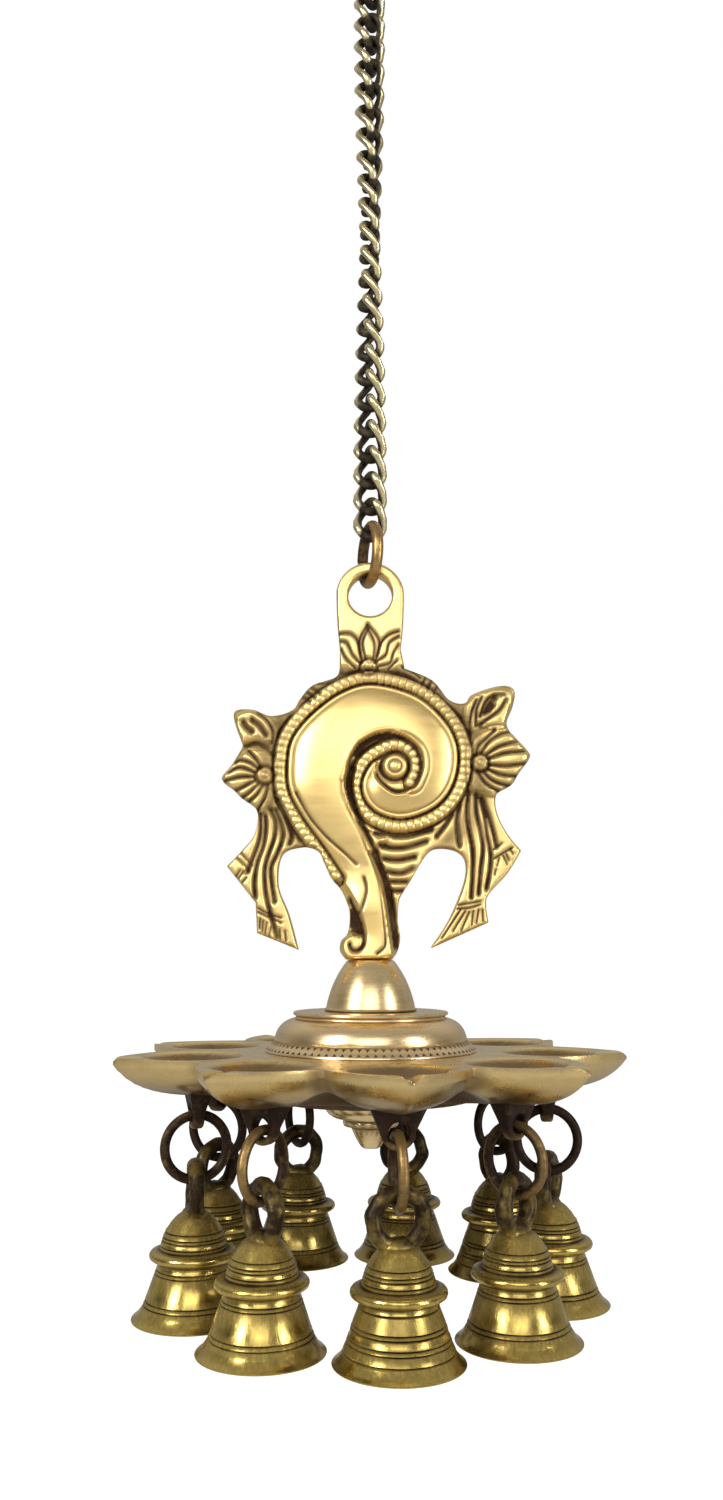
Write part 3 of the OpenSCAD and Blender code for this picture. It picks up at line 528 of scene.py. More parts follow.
def conch_heights(relief):
    """The conch: a swelling whorl that winds inwards between the turns of the beaded band, and its tail."""
    p = relief.p
    band = curve(BAND, cuts=BAND_CUTS)
    # The outer turn ends at the 16th point of the band, the inner one at the 20th
    turn_end, inner_end = 15 * BAND_CUTS, 19 * BAND_CUTS
    outer, inner = band[:turn_end + 1], band[turn_end:inner_end + 1]
    dist, along, _ = nearest(p, band)
    to_outer = nearest(p, np.vstack([curve(TAIL_SIDE), outer]))[0]
    disc = depth_in(p, np.vstack([outer, band[:1]]))
    tail = depth_in(p, np.vstack([curve(COIL_EDGE[4:-1] + TAIL_EDGE), curve(TAIL_BACK)]))
    coil = depth_in(p, np.vstack([curve(COIL_EDGE), [(-6, 96)]]))
    # The body overhangs the inner turn along the tail's edge, and drops into the coil
    over = step(-0.5, 0.5, tail)
    reach = to_outer * over + np.minimum(to_outer, nearest(p, inner)[0]) * (1 - over)
    low = step(58, 44, p[:, 1])
    swell = 5.6 - (4.6 - 2.4 * low) * np.exp(-np.clip(reach - 2.6 * (1 - low), 0, 99) / 7.5)
    swell *= 1 - 0.75 * step(-0.5, 0.7, coil)
    relief.h += swell * np.maximum(step(-1.5, 0.8, disc), step(-0.6, 1.2, tail))
    # The band stands proud between two dark lines and is cut into beads
    raised = step(2.3, 1.5, dist)
    bead = np.abs(np.sin(math.pi * along / BEAD_PITCH))
    relief.h = relief.h * (1 - raised) + raised * (3.9 + 0.5 * step(0, 0.6, bead) - 0.16 * dist ** 2)
    relief.darken(0.85 * raised * hump(bead, 0.28))
    line = hump(dist - 2.35, 0.45)
    relief.h -= 0.9 * line
    relief.darken(line)
    # Inside the band run a raised cord and a thin line
    within = step(-1, 1, disc) * step(0.3, -0.3, coil) * (1 - over * step(20, 24, to_outer))
    within *= 1 - step(-6, -9, p[:, 0]) * step(84, 76, p[:, 1])
    cord = hump(dist - 3.3, 0.5) * within
    thin = hump(dist - 4.3, 0.35) * within
    relief.h += 0.4 * cord - 0.45 * thin
    relief.darken(0.8 * thin)


def plaque_relief(p, depth):
    """Heights and recesses of one face of the plaque."""
    relief = Relief(p, 2.3)
    disc = np.hypot(p[:, 0] - 0.7, p[:, 1] - 91)
    ornament = step(31, 37, disc) * step(70, 64, p[:, 1]) + step(-1, 1, np.abs(p[:, 0]) - 31)
    relief.h += 0.5 * np.clip(ornament, 0, 1)
    relief.patina_and_shade = np.clip(0.8 * step(29, 34, disc) * step(44, 36, disc) * step(58, 70, p[:, 1]), 0, 1)
    conch_heights(relief)
    relief.ridge(COIL_EDGE[:-1] + TAIL_EDGE, 0.5, 0.9)
    relief.groove(TAIL_CANAL, 2.0, 0.85)
    relief.grooves(TAIL_STROKES)
    hollow = curve(TAIL_HOLLOW, True)
    relief.area(hollow, -1.8, 0.8)
    relief.darken(step(-0.6, 0.6, depth_in(p, hollow, 9)))
    relief.groove(FOOT_CURL, 1.5, 0.6)
    relief.boss(CONCH_EYE, 4.3, 1.5)
    tab = step(126, 128, p[:, 1])
    relief.h += 0.9 * tab
    relief.patina_and_shade *= 1 - tab
    for loop in (BUD_LEFT, BUD_RIGHT, FLOWER_LEFT, FLOWER_RIGHT):
        edge = curve(loop, True)
        relief.area(edge, 0.9, 0.7)
        relief.pillow(edge, 1.3, 6)
    relief.grooves(ORNAMENT_STROKES)
    relief.boss((-0.6, 126.9), 2.7, 1.2)
    for at in FLOWER_BOSSES:
        relief.boss(at, 2.8, 1.2)
    relief.h -= roll(depth, 1.2)
    return np.maximum(relief.h, 1.0), relief.patina_and_shade


def conch_plaque(brass):
    """The cast plaque, with the same relief on both faces."""
    loop = np.vstack([cornered(PLAQUE_RIGHT, RIBBON_TIPS), cornered(PLAQUE_LEFT, RIBBON_TIPS),
                      curve(tab_outline(), cuts=4)])
    eye = np.array([(EYE_R * math.cos(a), EYE_Z + EYE_R * math.sin(a))
                    for a in np.linspace(0, 2 * math.pi, 64, False)])
    bm = sheet(loop, 0.39, ["patina_and_shade"], eye)
    p, front = thicken(bm)
    depth = np.minimum(depth_in(p, loop), -depth_in(p, eye))
    height, patina_and_shade = plaque_relief(p, np.clip(depth, 0, None))
    # Smoothed a little; then what lies under its surroundings gathers tarnish
    height += 0.8 * hollows(bm, height, 1)
    hollow = hollows(bm, height, 24) * step(0.3, 2.0, depth)
    patina_and_shade = np.clip(np.maximum(patina_and_shade, 2.6 * hollow - 0.05) + 0.5 * np.minimum(hollow, 0), 0, 1)
    layer = bm.verts.layers.float["patina_and_shade"]
    for v in bm.verts:
        x, z = p[v.index]
        side = -1 if front[v.index] else 1
        v.co = (x * MM, side * height[v.index] * MM, (RIM + z) * MM)
        v[layer] = patina_and_shade[v.index]
    add_piece(bm, "plaque_casting", "lamp", brass, ["conch_plaque"], 75)


# The turned pieces under the plaque

def bulge(p, q, amount, count=10):
    """Points on a bulging line between two (radius, height) points."""
    p, q = np.array(p, float), np.array(q, float)
    n = np.array([q[1] - p[1], p[0] - q[0]]) / np.hypot(*(q - p))
    return [tuple(p + t * (q - p) + 4 * amount * t * (1 - t) * n) for t in np.linspace(0, 1, count)]


def turned_pieces(brass, punched):
    """The cone and the dome over the plate, and the finial under it."""
    cone = lathe([(0, 12.55), (14.6, 12.55), (15, 12.9), (15, 13.3)]
                 + bulge((14.5, 13.6), (7.8, 28.5), 1) + [(7.2, 28.8), (0, 28.8)])
    mask(cone, "patina_and_shade", lambda c: 0.9 * step(13.8, 13.0, c.z - RIM))
    add_piece(cone, "pedestal_turning", "lamp", brass, ["pedestal_cone"])
    dome = lathe([(0, 0), (33.9, 0), (34.2, 0.2), (34.1, 0.6), (32.8, 1.9), (31.5, 3.1),
                  (31.1, 3.2)]
                 + bulge((31.2, 3.5), (24.4, 10.5), 1.8)
                 + [(24.2, 11.2), (24.9, 11.4), (25.2, 11.8), (24.9, 12.4),
                    (24.3, 12.5), (0, 12.5)], 160)
    mask(dome, "patina_and_shade", lambda c: 0.9 * max(step(3.0, 3.15, c.z - RIM) * step(3.5, 3.25, c.z - RIM),
                                             step(10.4, 11, c.z - RIM) * step(11.5, 11.2, c.z - RIM)))
    add_piece(dome, "dome_turning", "lamp", punched, ["dome_cap"])
    finial = lathe([(0, -14.5), (14.6, -14.5), (15, -14.9)]
                   + bulge((15, -15.2), (11.6, -20.6), -1.2)
                   + [(8.6, -20.9), (8.9, -21.6), (9, -22.2), (8.6, -23.2), (6.5, -23.4)]
                   + bulge((6.4, -23.6), (3.2, -29.6), -0.2) + [(2.6, -30.1), (0, -30.1)], 64)
    mask(finial, "patina_and_shade", lambda c: 0.8 * step(-20.4, -20.9, c.z - RIM) * step(-21.6, -21, c.z - RIM)
         + 0.8 * step(-23, -23.3, c.z - RIM) * step(-24, -23.6, c.z - RIM))
    add_piece(finial, "finial_turning", "lamp", brass, ["bottom_finial"])


# The petal plate and its lugs

def plate_outline():
    """Each petal has two curved sides that meet at its tip."""
    side_r, half = 50, math.radians(59)
    side_x, side_y = side_r * math.cos(half), TIP_R - side_r * math.sin(half)
    notch = -math.radians(21.26)
    points = []
    for k in range(1, PETALS + 1):
        turn = math.radians(petal_turn(k))
        arc = [(side_r * math.cos(a) - side_x, side_r * math.sin(a) - side_y)
               for a in np.linspace(-half, notch, 14)]
        for x, y in [(-x, y) for x, y in arc[:0:-1]] + arc[:-1]:
            points.append((x * math.cos(turn) - y * math.sin(turn),
                           x * math.sin(turn) + y * math.cos(turn)))
    return np.array(points)


def petal_frame(p):
    """Distance out along the nearest petal and distance to the side of it, for each point."""
    angle = np.degrees(np.arctan2(p[:, 0], -p[:, 1])) - PETAL_TURN
    off = np.radians((angle + PETAL_PITCH / 2) % PETAL_PITCH - PETAL_PITCH / 2)
    r = np.hypot(*p.T)
    return r * np.cos(off), r * np.sin(off)


def plate_casting(brass):
    """The plate: wells and wick grooves above, a keel under each petal and a hub below."""
    loop = plate_outline()
    bm = sheet(loop, 0.8, ["patina_and_shade", "under", "well"])
    p, top = thicken(bm)
    depth = np.clip(depth_in(p, loop), 0, None)
    out, off = petal_frame(p)
    r = np.hypot(*p.T)
    # Wells: round bowls, with a wick groove that runs on to the tip
    from_middle = np.hypot(out - WELL_AT, off)
    bowl = np.sqrt(np.clip(WELL_BALL_R ** 2 - from_middle ** 2, 0, None)) - (WELL_BALL_R - WELL_DEPTH)
    bowl = np.clip(bowl, 0, None) + 0.35 * hump(from_middle - 15, 0.9)
    groove = 1.3 * hump(off, 1.7) * step(68, 73, out)
    sunk = np.maximum(bowl, groove)
    upper = -sunk
    # Underside: a wall at the rim, a keel under each petal, valleys between them, and the hub
    belly = 2.2 + 10.6 * (1 - np.exp(-depth / 7.2))
    to_valley = r * np.sin(np.radians(PETAL_PITCH / 2) - np.abs(np.arctan2(off, out)))
    valley = 6.3 + 6.2 * np.clip(to_valley / 13, 0, 2) ** 1.2 + 9 * step(48, 36, r)
    lower = -np.maximum(np.minimum(belly, valley), 14.5 * step(41, 33, r))
    lower = np.minimum(lower, upper - 1.6 * step(0, 3, depth))
    # Painted shade between the petals, by the notch in the rim, on both faces.
    notch = step(5, 1.5, to_valley) * step(9, 2, depth)
    patina_and_shade, under, well = (bm.verts.layers.float[name] for name in ("patina_and_shade", "under", "well"))
    for v in bm.verts:
        i = v.index
        z = upper[i] if top[i] else lower[i]
        v.co = (p[i][0] * MM, p[i][1] * MM, (RIM + z) * MM)
        if top[i]:
            # Painted shade on the top: darker by the notches, and a brown shade inside each well.
            v[patina_and_shade] = float(0.5 * notch[i])
            v[well] = float(step(0.4, 1.4, sunk[i]))
        else:
            # Painted shade on the underside: dark deep in from the rim and by the notches, and a browner
            # shade that grows inward from the rim.
            v[patina_and_shade] = float(max(0.8 * step(7, 15, depth[i]), 0.55 * notch[i]))
            v[under] = float(0.25 + 0.75 * step(1, 9, depth[i]))
    add_piece(bm, "plate_casting", "lamp", brass, ["lamp_plate"], 50)


def lug(k, dark_brass):
    """A cast ear: a ring of material round the hole, drawn up to a wide root."""
    hole_r, ear_r, root_half_width, root_height = 2.8, 4.8, 8.0, 7.2
    half_thickness, flare = 1.9, 0.22
    bm = bmesh.new()
    bmesh.ops.create_circle(bm, segments=32, radius=hole_r * MM)
    made = bmesh.ops.extrude_edge_only(bm, edges=bm.edges[:])
    for v in verts_of(made):
        a = math.atan2(v.co.y, v.co.x)
        x, y = ear_r * math.cos(a), ear_r * math.sin(a)
        if a > 0.05:
            x, y = root_half_width * min(1, max(-1, 1.5 * math.cos(a))), root_height
        v.co = (x * MM, y * MM, 0)
    made = bmesh.ops.extrude_face_region(bm, geom=bm.faces[:], use_keep_orig=True)
    for v in bm.verts:
        v.co.z = -half_thickness * MM - flare * max(0, v.co.y)
    for v in verts_of(made):
        v.co.z = half_thickness * MM + flare * max(0, v.co.y)
    bmesh.ops.recalc_face_normals(bm, faces=bm.faces)
    sharp = [e for e in bm.edges if len(e.link_faces) == 2 and e.calc_face_angle() > 0.7]
    bmesh.ops.bevel(bm, geom=sharp, offset=0.9 * MM, affect="EDGES", segments=3, profile=0.5, material=-1)
    bmesh.ops.rotate(bm, verts=bm.verts, cent=(0, 0, 0), matrix=Matrix.Rotation(math.pi / 2, 3, "X"))
    place(bm, 0, (0, -LUG_AT, RIM + LUG_HOLE_Z))
    place(bm, petal_turn(k))
    mask(bm, "wear_and_highlight", lambda c: 0.25 + 0.3 * step(-18, -22, c.z - RIM))
    add_piece(bm, f"lug_{k}", "lamp", dark_brass, (), 50)


# Bells

CROWN_GROOVES = [(8.6, -51.2), (9.2, -52.7), (9.5, -53.6), (9.9, -55.2)]
PLAIN_GROOVES = [(11.0, -61.8), (11.4, -62.8), (14.0, -70.2), (14.5, -71.4)]
DEEP_GROOVES = [(10.9, -61.4), (12.5, -65.6), (12.9, -66.6), (13.7, -68.9), (14.1, -70), (15.1, -72.4)]


def bell_profile(grooves, deep):
    """Half outline of a bell, from the crown's top round the mouth to the inside of the crown."""
    points = [(0, -46.3), (4.6, -46.4), (5.7, -47.3), (7.0, -48.7), (8.0, -50.2), (9.8, -54.4),
              (10.1, -56.1), (11.6, -56.4), (12.6, -56.7), (13.1, -57.3), (13.2, -57.9), (13.0, -58.6),
              (12.3, -59.1), (11.1, -59.4), (10.6, -59.9), (10.7, -60.8), (13.3, -68), (15.4, -72.9),
              (16.3, -74.1), (17.2, -75), (17.8, -75.3)]
    for r, z in CROWN_GROOVES + grooves:
        points += [(r, z + 0.32), (r - deep, z), (r + 0.15, z - 0.32)]
    points.sort(key=lambda point: -point[1])
    return points + [(18, -75.5), (17.9, -75.75), (17, -75.7), (15.9, -75.5), (14.8, -73.4), (13.2, -71.2),
                     (8.8, -59.4), (7.6, -55), (4.6, -51.6), (0, -51.5)]


def bell(k, brass, rng):
    """A turned bell with a rough cast loop on top and a staple inside."""
    grooves, deep = (DEEP_GROOVES, 0.5) if k % 3 == 1 else (PLAIN_GROOVES, 0.3)
    bm = lathe(bell_profile(grooves, deep), 72)
    loop = wire_loop(LOOP_MID_R, LOOP_WIRE_R, 48, 12)
    lumps = [(n, rng.uniform(0, 6), rng.uniform(0.006, 0.02)) for n in (2, 3, 5, 8, 11)]
    for v in loop.verts:
        a = math.atan2(v.co.z, v.co.x)
        v.co *= 1 + sum(size * math.sin(n * a + phase) for n, phase, size in lumps)
        v.co.y *= 0.95 + 0.2 * math.sin(a + lumps[0][1]) ** 2
    turn = rng.uniform(-22, 22)
    place(loop, turn, (0, 0, RIM + LOOP_Z))
    join(bm, loop)
    # The loop's foot spreads into the crown as a lump of casting
    neck = bmesh.new()
    bmesh.ops.create_icosphere(neck, subdivisions=3, radius=MM)
    for v in neck.verts:
        a = math.atan2(v.co.y, v.co.x)
        v.co *= 1 + sum(3 * size * math.sin(n * a + phase + 900 * v.co.z) for n, phase, size in lumps[:3])
    bmesh.ops.scale(neck, vec=(5.4, 3.9, 2.6), verts=neck.verts)
    place(neck, turn, (0, 0, RIM + NECK_Z))
    join(bm, neck)
    staple = wire_loop(STAPLE_MID_R, STAPLE_WIRE_R, 24, 8)
    place(staple, 0, (0, 0, RIM + STAPLE_Z))
    join(bm, staple)
    lines = [z for _, z in CROWN_GROOVES + grooves] + [-56.1, -59.7]
    mask(bm, "patina_and_shade", lambda c: max(hump(c.z - RIM - z, 0.3) for z in lines))
    mask(bm, "cast", lambda c: 0.95 * step(-52, -43, c.z - RIM))
    # Painted shade: bells turned away from the front get a darker tone on top of a random older tone.
    age_and_back_shade = rng.uniform(0, 0.4) + 0.5 * (off_front(k) > 90)
    mask(bm, "age_and_back_shade", lambda c: age_and_back_shade)
    hang_at_petal(bm, k)
    add_piece(bm, f"bell_{k}_casting", f"bell_{k}", brass, [f"bell_{k}"])


def bell_ring(k, dark_brass, rng):
    """A bent wire ring, a little out of round, rubbed bright on its outside, with a painted highlight on
    the rings at the front.
    """
    bm = wire_loop(RING_MID_R, RING_WIRE_R, 72, 12)
    phase = rng.uniform(0, 6)
    for v in bm.verts:
        a = math.atan2(v.co.z, v.co.x)
        v.co *= 1 + 0.003 * math.sin(2 * a + phase) + 0.002 * math.sin(5 * a + 2 * phase)
    # Painted highlight: rings near the front get more bright brass, on top of a random amount of wear.
    ring_wear_and_highlight = rng.uniform(0.15, 0.4) + 0.35 * (off_front(k) < 60)
    mask(bm, "wear_and_highlight", lambda c: ring_wear_and_highlight * (0.5 + 0.5 * step(8.6, 10.6, math.hypot(c.x, c.z))))
    place(bm, 90)
    hang_at_petal(bm, k, RIM + RING_Z)
    add_piece(bm, f"bell_ring_{k}_wire", f"bell_ring_{k}", dark_brass, [f"bell_ring_{k}"])


def clapper(k, dark_brass):
    """A stem with a drop at its end and an eye at its top."""
    bm = lathe([(0, -58), (1.1, -58.2), (1.2, -70.8), (2.0, -71.3), (3.3, -72.7), (3.8, -74.7),
                (3.4, -76.7), (2.2, -78.1), (0, -78.5)], 32)
    eye = wire_loop(STAPLE_MID_R, STAPLE_WIRE_R, 24, 8)
    place(eye, 90, (0, 0, RIM + CLAPPER_EYE_Z))
    join(bm, eye)
    mask(bm, "wear_and_highlight", lambda c: 0.5)
    hang_at_petal(bm, k)
    add_piece(bm, f"clapper_{k}_casting", f"clapper_{k}", dark_brass, [f"clapper_{k}"])


# Chain, jump ring and hook

def link_turn(i):
    """Degrees that link i is turned; the whole chain twists a little from link to link."""
    return -15 - (LINKS - i) * 6.8


def chain_link(i, bronze):
    """A long ring of wire whose two ends are turned a quarter turn apart."""
    node = f"chain_link_{i:02d}"
    low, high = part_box(node)
    bm = wire_loop(LINK_MID_R, LINK_WIRE_R, 48, 12)
    for v in bm.verts:
        a = math.atan2(v.co.z, v.co.x)
        z = LINK_MID_R * math.sin(a)
        if abs(math.sin(a)) > 0.01:
            shift = math.copysign(LINK_HALF_LENGTH - LINK_MID_R, math.sin(a))
            v.co.z += shift * MM
            z += shift
        twist = -45 * math.sin(math.pi / 2 * z / LINK_HALF_LENGTH)
        v.co.rotate(Matrix.Rotation(math.radians(twist), 3, "Z"))
    mask(bm, "wear_and_highlight", lambda c: step(3.4, 5.4, math.hypot(c.x, c.y)))
    place(bm, link_turn(i), (0, 0, (low.z + high.z) / 2 / MM))
    add_piece(bm, f"link_{i:02d}_wire", node, bronze, [node])


def jump_ring(bronze):
    """A heavy ring of wire whose ends don't quite meet."""
    low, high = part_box("jump_ring")
    bm = wire_loop(9.9, 1.95, 72, 14, gap=4.6)
    mask(bm, "wear_and_highlight", lambda c: 0.35 + 0.4 * step(9.5, 11.5, math.hypot(c.x, c.z)))
    place(bm, 105, (0, 0, (low.z + high.z) / 2 / MM))
    add_piece(bm, "jump_ring_wire", "jump_ring", bronze, ["jump_ring"])


def ceiling_hook(bronze):
    """The hook's wire is drawn as a curve: open bend, shank and curled eye."""
    bend_r, bend_z, eye_r, eye_gap, shank, wire_r = 11.0, -9, 6.5, 4.25, 26.0, 2
    lean = math.atan2(bend_r - eye_r, shank)
    eye_z = bend_z - shank / math.cos(lean)
    points = [(bend_r * math.cos(a), bend_z + bend_r * math.sin(a))
              for a in np.linspace(-math.radians(25), math.pi + lean, 28)]
    sweep = 2 * math.pi - math.acos(1 - eye_gap / eye_r)
    points += [(eye_r * math.cos(a), eye_z + eye_r * math.sin(a))
               for a in np.linspace(math.pi + lean, math.pi + lean + sweep, 28)]
    line = bpy.data.curves.new("hook_line", "CURVE")
    line.dimensions = "3D"
    line.bevel_depth = wire_r * MM
    line.bevel_resolution = 4
    line.use_fill_caps = True
    spline = line.splines.new("POLY")
    spline.points.add(len(points) - 1)
    turn = math.radians(link_turn(1) + 45)
    for point, (x, z) in zip(spline.points, points):
        point.co = (x * math.cos(turn) * MM, x * math.sin(turn) * MM, z * MM, 1)
    drawn = bpy.data.objects.new("hook_line", line)
    mesh = bpy.data.meshes.new_from_object(drawn)
    bm = bmesh.new()
    bm.from_mesh(mesh)
    bpy.data.objects.remove(drawn)
    mask(bm, "wear_and_highlight", lambda c: 0.3 + 0.3 * step(-2, 2, c.z))
    add_piece(bm, "hook_wire", "ceiling_hook", bronze, ["ceiling_hook"])


# Materials

def link(tree, a, b):
    tree.links.new(a, b)


def set_input(tree, socket, value):
    """Sets an input to a value, or links it where the value is another node's output."""
    if isinstance(value, bpy.types.NodeSocket):
        link(tree, value, socket)
    else:
        socket.default_value = value


def shader_node(tree, kind, **values):
    node = tree.nodes.new("ShaderNode" + kind)
    for key, value in values.items():
        if key in node.inputs:
            set_input(tree, node.inputs[key], value)
        else:
            setattr(node, key, value)
    return node


def object_place(tree):
    return shader_node(tree, "TexCoord").outputs["Object"]


def attribute(tree, name):
    return shader_node(tree, "Attribute", attribute_name=name).outputs["Fac"]


def group_of(name, inputs, outputs):
    """An empty shader node group with the named sockets."""
    tree = bpy.data.node_groups.new(name, "ShaderNodeTree")
    for title, kind, value in inputs:
        socket = tree.interface.new_socket(name=title, in_out="INPUT", socket_type=kind)
        if value is not None:
            socket.default_value = value
    for title, kind in outputs:
        tree.interface.new_socket(name=title, in_out="OUTPUT", socket_type=kind)
    return tree, tree.nodes.new("NodeGroupInput"), tree.nodes.new("NodeGroupOutput")


def mix_colour(tree, factor, a, b):
    mix = shader_node(tree, "Mix", data_type="RGBA", Factor=factor)
    for value, socket in zip((a, b), mix.inputs[6:8]):
        set_input(tree, socket, (*value, 1) if isinstance(value, tuple) else value)
    return mix.outputs[2]


def range_of(tree, value, low, high, from_low=0.0, from_high=1.0):
    limits = {"From Min": from_low, "From Max": from_high, "To Min": low, "To Max": high}
    return shader_node(tree, "MapRange", Value=value, **limits).outputs["Result"]


def math_of(tree, operation, *values):
    node = shader_node(tree, "Math", operation=operation)
    for value, socket in zip(values, node.inputs):
        set_input(tree, socket, value)
    return node.outputs[0]


def tarnish_and_shade_group():
    """Dark tarnish that gathers in recesses and breaks up in blotches, and painted shade where the Recess
    input holds it.
    """
    tree, start, end = group_of(
        "tarnish_and_shade", [("Vector", "NodeSocketVector", None), ("Recess", "NodeSocketFloat", 0.0),
                    ("Spread", "NodeSocketFloat", 0.2), ("Scale", "NodeSocketFloat", 220.0)],
        [("Mask", "NodeSocketFloat")])
    noise = shader_node(tree, "TexNoise", Vector=start.outputs["Vector"], Scale=start.outputs["Scale"],
                        Detail=5.0, Roughness=0.6)
    spots = range_of(tree, noise.outputs["Fac"], 0.0, 1.0, 0.35, 0.75)
    spread = math_of(tree, "MULTIPLY", spots, start.outputs["Spread"])
    broken = math_of(tree, "MULTIPLY_ADD", noise.outputs["Fac"], 0.35, 0.8)
    gathered = math_of(tree, "MULTIPLY", start.outputs["Recess"], broken)
    total = math_of(tree, "ADD", gathered, spread)
    total.node.use_clamp = True
    link(tree, total, end.inputs["Mask"])
    return tree


def brushing_group():
    """Fine scratches that are stretched along one direction."""
    tree, start, end = group_of(
        "brushing", [("Vector", "NodeSocketVector", None), ("Stretch", "NodeSocketVector", (1, 1, 1))],
        [("Lines", "NodeSocketFloat")])
    scaled = shader_node(tree, "VectorMath", operation="MULTIPLY")
    link(tree, start.outputs["Vector"], scaled.inputs[0])
    link(tree, start.outputs["Stretch"], scaled.inputs[1])
    noise = shader_node(tree, "TexNoise", Vector=scaled.outputs[0], Scale=1.0, Detail=4.0, Roughness=0.65)
    link(tree, noise.outputs["Fac"], end.inputs["Lines"])
    return tree


TARNISH_AND_SHADE = tarnish_and_shade_group()
BRUSHING = brushing_group()


def metal(name, bright, deep, dark, rough, stretch, *, spread=0.15, scale=220.0, bump=0.15, extra=None):
    """Brass with brushing, blotches of a deeper tone, and dark tarnish in its recesses, with painted shade
    where its dark mask holds it.
    extra(tree, colour, dark mask) may return another colour and dark mask."""
    material = bpy.data.materials.new(name)
    material.use_nodes = True
    tree = material.node_tree
    shader = tree.nodes["Principled BSDF"]
    at = object_place(tree)
    lines = shader_node(tree, "Group", node_tree=BRUSHING, Vector=at, Stretch=stretch).outputs["Lines"]
    tarnish_and_shade = shader_node(tree, "Group", node_tree=TARNISH_AND_SHADE, Vector=at, Spread=spread, Scale=scale)
    stain_and_shade = tarnish_and_shade.outputs["Mask"]
    patina_and_shade = attribute(tree, "patina_and_shade")
    tone = mix_colour(tree, lines, deep, bright)
    if extra:
        tone, patina_and_shade = extra(tree, tone, patina_and_shade)
    link(tree, patina_and_shade, tarnish_and_shade.inputs["Recess"])
    link(tree, mix_colour(tree, stain_and_shade, tone, dark), shader.inputs["Base Color"])
    uneven = range_of(tree, lines, rough - 0.03, rough + 0.04, 0.3, 0.7)
    link(tree, math_of(tree, "MULTIPLY_ADD", stain_and_shade, 0.2, uneven), shader.inputs["Roughness"])
    link(tree, range_of(tree, stain_and_shade, 1.0, 0.2), shader.inputs["Metallic"])
    shader.inputs["Specular IOR Level"].default_value = 0.12
    skin = shader_node(tree, "Bump", Strength=bump, Distance=0.0002, Height=lines)
    link(tree, skin.outputs["Normal"], shader.inputs["Normal"])
    return material


PUNCHES = 84


def punch_marks(tree, tone, patina_and_shade):
    """Two rows of small triangles punched round the dome's flange."""
    x, y, z = shader_node(tree, "SeparateXYZ", Vector=object_place(tree)).outputs
    count = math_of(tree, "MULTIPLY", math_of(tree, "ARCTAN2", y, x), PUNCHES / (2 * math.pi))
    saw = math_of(tree, "ABSOLUTE", math_of(tree, "SUBTRACT", math_of(tree, "FRACT", count), 0.5))
    slope = math_of(tree, "DIVIDE", math_of(tree, "SUBTRACT", z, (RIM + 0.6) * MM), 2.6 * MM)
    marks = None
    for base, point in ((0.1, 0.46), (0.92, 0.52)):
        up = math_of(tree, "DIVIDE", math_of(tree, "SUBTRACT", slope, base), point - base)
        half = math_of(tree, "MULTIPLY", math_of(tree, "SUBTRACT", 1, up), 0.38)
        edge = range_of(tree, math_of(tree, "SUBTRACT", half, saw), 0, 1, 0.0, 0.08)
        mark = math_of(tree, "MULTIPLY", edge, math_of(tree, "GREATER_THAN", up, 0))
        marks = mark if marks is None else math_of(tree, "MAXIMUM", marks, mark)
    return tone, math_of(tree, "MAXIMUM", patina_and_shade, marks)


def bell_tones(tree, tone, patina_and_shade):
    """Rough dark casting on the crown and loop, an older tone on some bells, and painted shade on the bells
    at the back.
    """
    noise = shader_node(tree, "TexNoise", Vector=object_place(tree), Scale=420.0, Detail=6.0)
    blotched = range_of(tree, noise.outputs["Fac"], 0.76, 1.0, 0.3, 0.65)
    rough = math_of(tree, "MULTIPLY", attribute(tree, "cast"), blotched)
    age_and_back_shade = math_of(tree, "MULTIPLY", attribute(tree, "age_and_back_shade"), 0.55)
    return mix_colour(tree, age_and_back_shade, tone, (0.16, 0.11, 0.035)), math_of(tree, "MAXIMUM", patina_and_shade, rough)


def wear_and_highlight_tones(tree, tone, patina_and_shade):
    """Dark oxide that is rubbed through to brass where the wear is, and where a painted highlight is set.
    """
    noise = shader_node(tree, "TexNoise", Vector=object_place(tree), Scale=300.0, Detail=6.0, Roughness=0.7)
    uneven = math_of(tree, "SUBTRACT", noise.outputs["Fac"], 0.5)
    broken = math_of(tree, "ADD", attribute(tree, "wear_and_highlight"), uneven)
    oxide_unworn_unlit = range_of(tree, broken, 1.0, 0.0, 0.3, 0.8)
    return tone, math_of(tree, "MAXIMUM", patina_and_shade, oxide_unworn_unlit)


def plate_tones(tree, tone, patina_and_shade):
    """Painted shade: browner towards the underside, and brown inside the wells."""
    under = math_of(tree, "MULTIPLY", attribute(tree, "under"), 0.8)
    lower = mix_colour(tree, under, tone, (0.26, 0.16, 0.055))
    # Painted shade inside the wells.
    well_shade_mix = math_of(tree, "MULTIPLY", attribute(tree, "well"), 0.85)
    return mix_colour(tree, well_shade_mix, lower, (0.22, 0.13, 0.07)), patina_and_shade


# Stage

FLOOR_Z = -320
CAMERA_AT = (-2.97, -383.2, 32.6)
CAMERA_UP = 9.78  # degrees that the camera looks up


